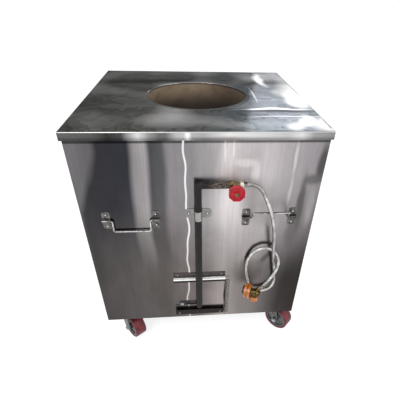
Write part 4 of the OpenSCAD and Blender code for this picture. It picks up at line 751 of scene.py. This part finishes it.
def folded_strip(name, stops, axis, span, bright_from, painted_light_white=0.0):
    """Folded sheet whose tone runs along one axis, bright only above a level and dark below it.
    By the share painted_light_white, its upward outer faces are painted white and unmetallic as a
    highlight, and those turned to the panel pale, as painted light."""
    made, tree, shader = start_material(name, Metallic=1.0)
    coords = add(tree, "TexCoord")
    place = coords.outputs["Object"]
    axes = add(tree, "SeparateXYZ", {0: place})
    faces = add(tree, "SeparateXYZ", {0: coords.outputs["Normal"]})
    out = add(tree, "MapRange", {0: axes.outputs[axis], 1: span[0], 2: span[1]})
    tone = add(tree, "ValToRGB", {0: out.outputs[0]}, stops=stops)
    raised = add(tree, "MapRange", {0: axes.outputs[2], 1: bright_from - 0.001, 2: bright_from + 0.001})
    grease = add(tree, "TexNoise", {"Vector": place, "Scale": 1 / grease_smear, "Detail": 4.0})
    smeared = add(tree, "MapRange", {0: grease.outputs[0], 1: noise_low, 2: noise_high,
                                     3: 0.82, 4: 1.12})
    # Below the level the strip is dark.
    mixed = add(tree, "Mix", {0: raised.outputs[0], 6: linear("#2f2c2b"), 7: tone.outputs[0]},
                data_type="RGBA")
    # Painted light: faces turned to the panel are pale, as if lit in the trough.
    inner = add(tree, "MapRange", {0: faces.outputs[1], 1: 0.5, 2: 0.9, 3: 0.0, 4: painted_light_white})
    mixed = add(tree, "Mix", {0: inner.outputs[0], 6: mixed.outputs[2], 7: linear("#d0ccc9")},
                data_type="RGBA")
    colour = add(tree, "VectorMath", {0: mixed.outputs[2], 3: smeared.outputs[0]}, operation="SCALE")
    gloss = add(tree, "MapRange", {0: grease.outputs[0], 1: noise_low, 2: noise_high, 3: 0.34, 4: 0.2})
    rub = add(tree, "Bump", {"Height": grease.outputs[0], "Distance": 0.0003})
    # Painted highlight: upward outer faces turn white and unmetallic.
    outer_painted_light = add(tree, "MapRange", {0: out.outputs[0], 1: 0.12, 2: 0.18, 3: 0.0, 4: painted_light_white})
    ledge = add(tree, "Math", {0: outer_painted_light.outputs[0], 1: faces.outputs[2]}, operation="MULTIPLY",
                use_clamp=True)
    painted_white_share = add(tree, "Math", {0: ledge.outputs[0], 1: inner.outputs[0]}, operation="MAXIMUM")
    metal = add(tree, "Math", {0: 1.0, 1: painted_white_share.outputs[0]}, operation="SUBTRACT")
    tree.links.new(colour.outputs[0], shader.inputs["Base Color"])
    tree.links.new(metal.outputs[0], shader.inputs["Metallic"])
    tree.links.new(gloss.outputs[0], shader.inputs["Roughness"])
    tree.links.new(rub.outputs[0], shader.inputs["Normal"])
    return made


panel_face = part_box("front_panel")[0].y
rails_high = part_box("door_rails")[1]
rails = folded_strip("Greasy folded rail",
                     [(0.0, "#4d4948"), (0.12, "#504c4b"), (0.18, "#f4f1f0"), (1.0, "#ffffff")],
                     1, (panel_face, panel_face - rail_depth), rails_high.z - upper_rail_height,
                     painted_light_white=0.95)
wear(rails, "door_rails")
pull_low, pull_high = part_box("door_pull")
pull = folded_strip("Greasy folded pull",
                    [(0.0, "#5a5553"), (0.3, "#6b6664"), (0.44, "#736e6c"), (0.88, "#7d7875"),
                     (1.0, "#4a4645")],
                    0, (pull_low.x, pull_high.x), pull_low.z)
wear(pull, "door_pull")
clamp = folded_strip("Bent stainless clamp",
                     [(0.0, "#858382"), (0.3, "#8b8988"), (0.62, "#8f8d8c"), (1.0, "#9d9b9a")],
                     1, (panel_face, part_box("pipe_clamp")[0].y), 0.0)
wear(clamp, "pipe_clamp")


# Valve, nuts and jet: brass, turned and screwed together, partly bright and partly tarnished
# brown. The hose's upper nut is painted much paler, as a highlight.
brass = bright_metal("Turned brass", "#4d4034", "#a08a68", 0.3, 0.011)
wear(brass, "valve_body", "valve_gland", "valve_spindle", "knob_screw", "regulator_nut", "gas_jet")
highlit_nut_brass = bright_metal("Brass nut, painted highlight", "#bdb5a2", "#fbf5e8", 0.25, 0.008)
wear(highlit_nut_brass, "hose_nut")


# Valve knob: cast zinc in red paint, held on the spindle by its screw. The paint is satin,
# slightly rough, and darker in worn patches.
paint_chip = 0.00625
red, tree, shader = start_material("Red knob paint", Roughness=0.42, Specular_IOR_Level=0.35)
place = add(tree, "TexCoord").outputs["Object"]
chip = add(tree, "TexNoise", {"Vector": place, "Scale": 1 / paint_chip, "Detail": 5.0})
paint = add(tree, "ValToRGB", {0: chip.outputs[0]},
            stops=[(0.3, "#8f1420"), (0.5, "#b81c2b"), (0.7, "#c62536")])
peel = add(tree, "Bump", {"Height": chip.outputs[0], "Distance": 0.0003})
tree.links.new(paint.outputs[0], shader.inputs["Base Color"])
tree.links.new(peel.outputs[0], shader.inputs["Normal"])
wear(red, "valve_knob")


# Regulator: a housing of two pressed discs and a socket in orange enamel, on a die-cast zinc
# block that is chromated yellow and dark with grease, and a knob moulded in black plastic.
enamel_patch = 0.00833
orange, tree, shader = start_material("Orange stove enamel", Roughness=0.35, Coat_Weight=0.4,
                                      Coat_Roughness=0.1)
place = add(tree, "TexCoord").outputs["Object"]
age = add(tree, "TexNoise", {"Vector": place, "Scale": 1 / enamel_patch, "Detail": 4.0})
coat = add(tree, "ValToRGB", {0: age.outputs[0]},
           stops=[(0.3, "#8c4a0e"), (0.55, "#bb6d14"), (0.75, "#cf7f1c")])
tree.links.new(coat.outputs[0], shader.inputs["Base Color"])
wear(orange, "regulator_cover", "regulator_socket")

zinc_casting = bright_metal("Chromated zinc casting", "#120f0c", "#75643a", 0.42, 0.007)
wear(zinc_casting, "regulator_body")

# The plastic is matt and nearly black. Its moulded grain is drawn 3 mm wide, coarser than real,
# so that it shows.
plastic_grain = 0.00333
plastic, tree, shader = start_material("Black moulded plastic", Roughness=0.5)
place = add(tree, "TexCoord").outputs["Object"]
grain = add(tree, "TexNoise", {"Vector": place, "Scale": 1 / plastic_grain, "Detail": 3.0})
dark = add(tree, "ValToRGB", {0: grain.outputs[0]}, stops=[(0.35, "#131313"), (0.7, "#2b2a29")])
dimples = add(tree, "Bump", {"Height": grain.outputs[0], "Distance": 0.0004})
tree.links.new(dark.outputs[0], shader.inputs["Base Color"])
tree.links.new(dimples.outputs[0], shader.inputs["Normal"])
wear(plastic, "regulator_knob")


# Castor wheels: a cast core in dusty grey paint, which turns on its axle in the fork, and a
# tyre of red polyurethane moulded round it, scuffed dark and pale on its tread.
tyre_scuff = 0.0182
tyre, tree, shader = start_material("Red polyurethane tyre", Roughness=0.5)
place = add(tree, "TexCoord").outputs["Object"]
scuff = add(tree, "TexNoise", {"Vector": place, "Scale": 1 / tyre_scuff, "Detail": 6.0})
tread = add(tree, "ValToRGB", {0: scuff.outputs[0]},
            stops=[(0.3, "#3f0a13"), (0.55, "#6a1222"), (0.75, "#8c2636")])
tree.links.new(tread.outputs[0], shader.inputs["Base Color"])
wear(tyre, *["tyre_" + corner for corner in corners])

core_speck = 0.0111
core, tree, shader = start_material("Grey painted casting", Roughness=0.42)
place = add(tree, "TexCoord").outputs["Object"]
speck = add(tree, "TexNoise", {"Vector": place, "Scale": 1 / core_speck, "Detail": 5.0})
dusty = add(tree, "ValToRGB", {0: speck.outputs[0]},
            stops=[(0.32, "#3c3f3f"), (0.5, "#565a59"), (0.7, "#6f7271")])
sand = add(tree, "Bump", {"Height": speck.outputs[0], "Distance": 0.0004})
tree.links.new(dusty.outputs[0], shader.inputs["Base Color"])
tree.links.new(sand.outputs[0], shader.inputs["Normal"])
wear(core, *["hub_" + corner for corner in corners])


# Studio: a plain pale floor in a white room, a large soft lamp in front, a smaller fill on the
# right, and a window-like lamp behind that glances off the cap. What the camera and shiny
# metal see is brighter than what lights the object.
def seen_plainly(tree):
    """One for a ray from the camera or off a shiny or clear surface, and zero for others."""
    path = add(tree, "LightPath")
    seen = add(tree, "Math", {0: path.outputs["Is Camera Ray"], 1: path.outputs["Is Glossy Ray"]},
               operation="MAXIMUM")
    seen = add(tree, "Math", {0: seen.outputs[0], 1: path.outputs["Is Transmission Ray"]},
               operation="MAXIMUM")
    return seen.outputs[0]


bpy.context.scene.view_settings.view_transform = "Standard"
world = bpy.data.worlds.new("studio")
bpy.context.scene.world = world
world.use_nodes = True
tree = world.node_tree
room = tree.nodes["Background"]
power = add(tree, "MapRange", {0: seen_plainly(tree), 3: 0.55, 4: 1.0})
room.inputs["Color"].default_value = (1, 1, 1, 1)
tree.links.new(power.outputs[0], room.inputs["Strength"])

shape = bmesh.new()
bmesh.ops.create_grid(shape, x_segments=1, y_segments=1, size=40)
floor_mesh = bpy.data.meshes.new("floor")
shape.to_mesh(floor_mesh)
shape.free()
floor = bpy.data.objects.new("floor", floor_mesh)
bpy.context.scene.collection.objects.link(floor)
pale, tree, shader = start_material("Pale studio floor", Roughness=1.0)
shader.inputs["Base Color"].default_value = (0.8, 0.8, 0.8, 1)
plain = add(tree, "BsdfDiffuse", {0: (0.45, 0.45, 0.45, 1)})
glow = add(tree, "Emission", {0: (1, 1, 1, 1), 1: 0.78})
shown = add(tree, "AddShader", {0: plain.outputs[0], 1: glow.outputs[0]})
mixed = add(tree, "MixShader", {0: seen_plainly(tree), 1: shader.outputs[0], 2: shown.outputs[0]})
tree.links.new(mixed.outputs[0], tree.nodes["Material Output"].inputs["Surface"])
floor_mesh.materials.append(pale)

# Each lamp has a place, a width and its watts, and points at the middle of the cabinet.
lamp_aim = Vector((0, 0.03, 0.5))
lamps = {"key_lamp": ((-1.3, -2.2, 2.6), 1.6, 46),
         "fill_lamp": ((2.2, -1.2, 1.9), 1.2, 18),
         "window_lamp": ((1.35, 2.6, 1.5), 1.4, 19)}
for name, (spot, width, watts) in lamps.items():
    lamp = bpy.data.lights.new(name, "AREA")
    lamp.size = width
    lamp.energy = watts
    held = bpy.data.objects.new(name, lamp)
    bpy.context.scene.collection.objects.link(held)
    held.location = spot
    held.rotation_euler = (lamp_aim - Vector(spot)).to_track_quat("-Z", "Y").to_euler()
    held.visible_camera = False
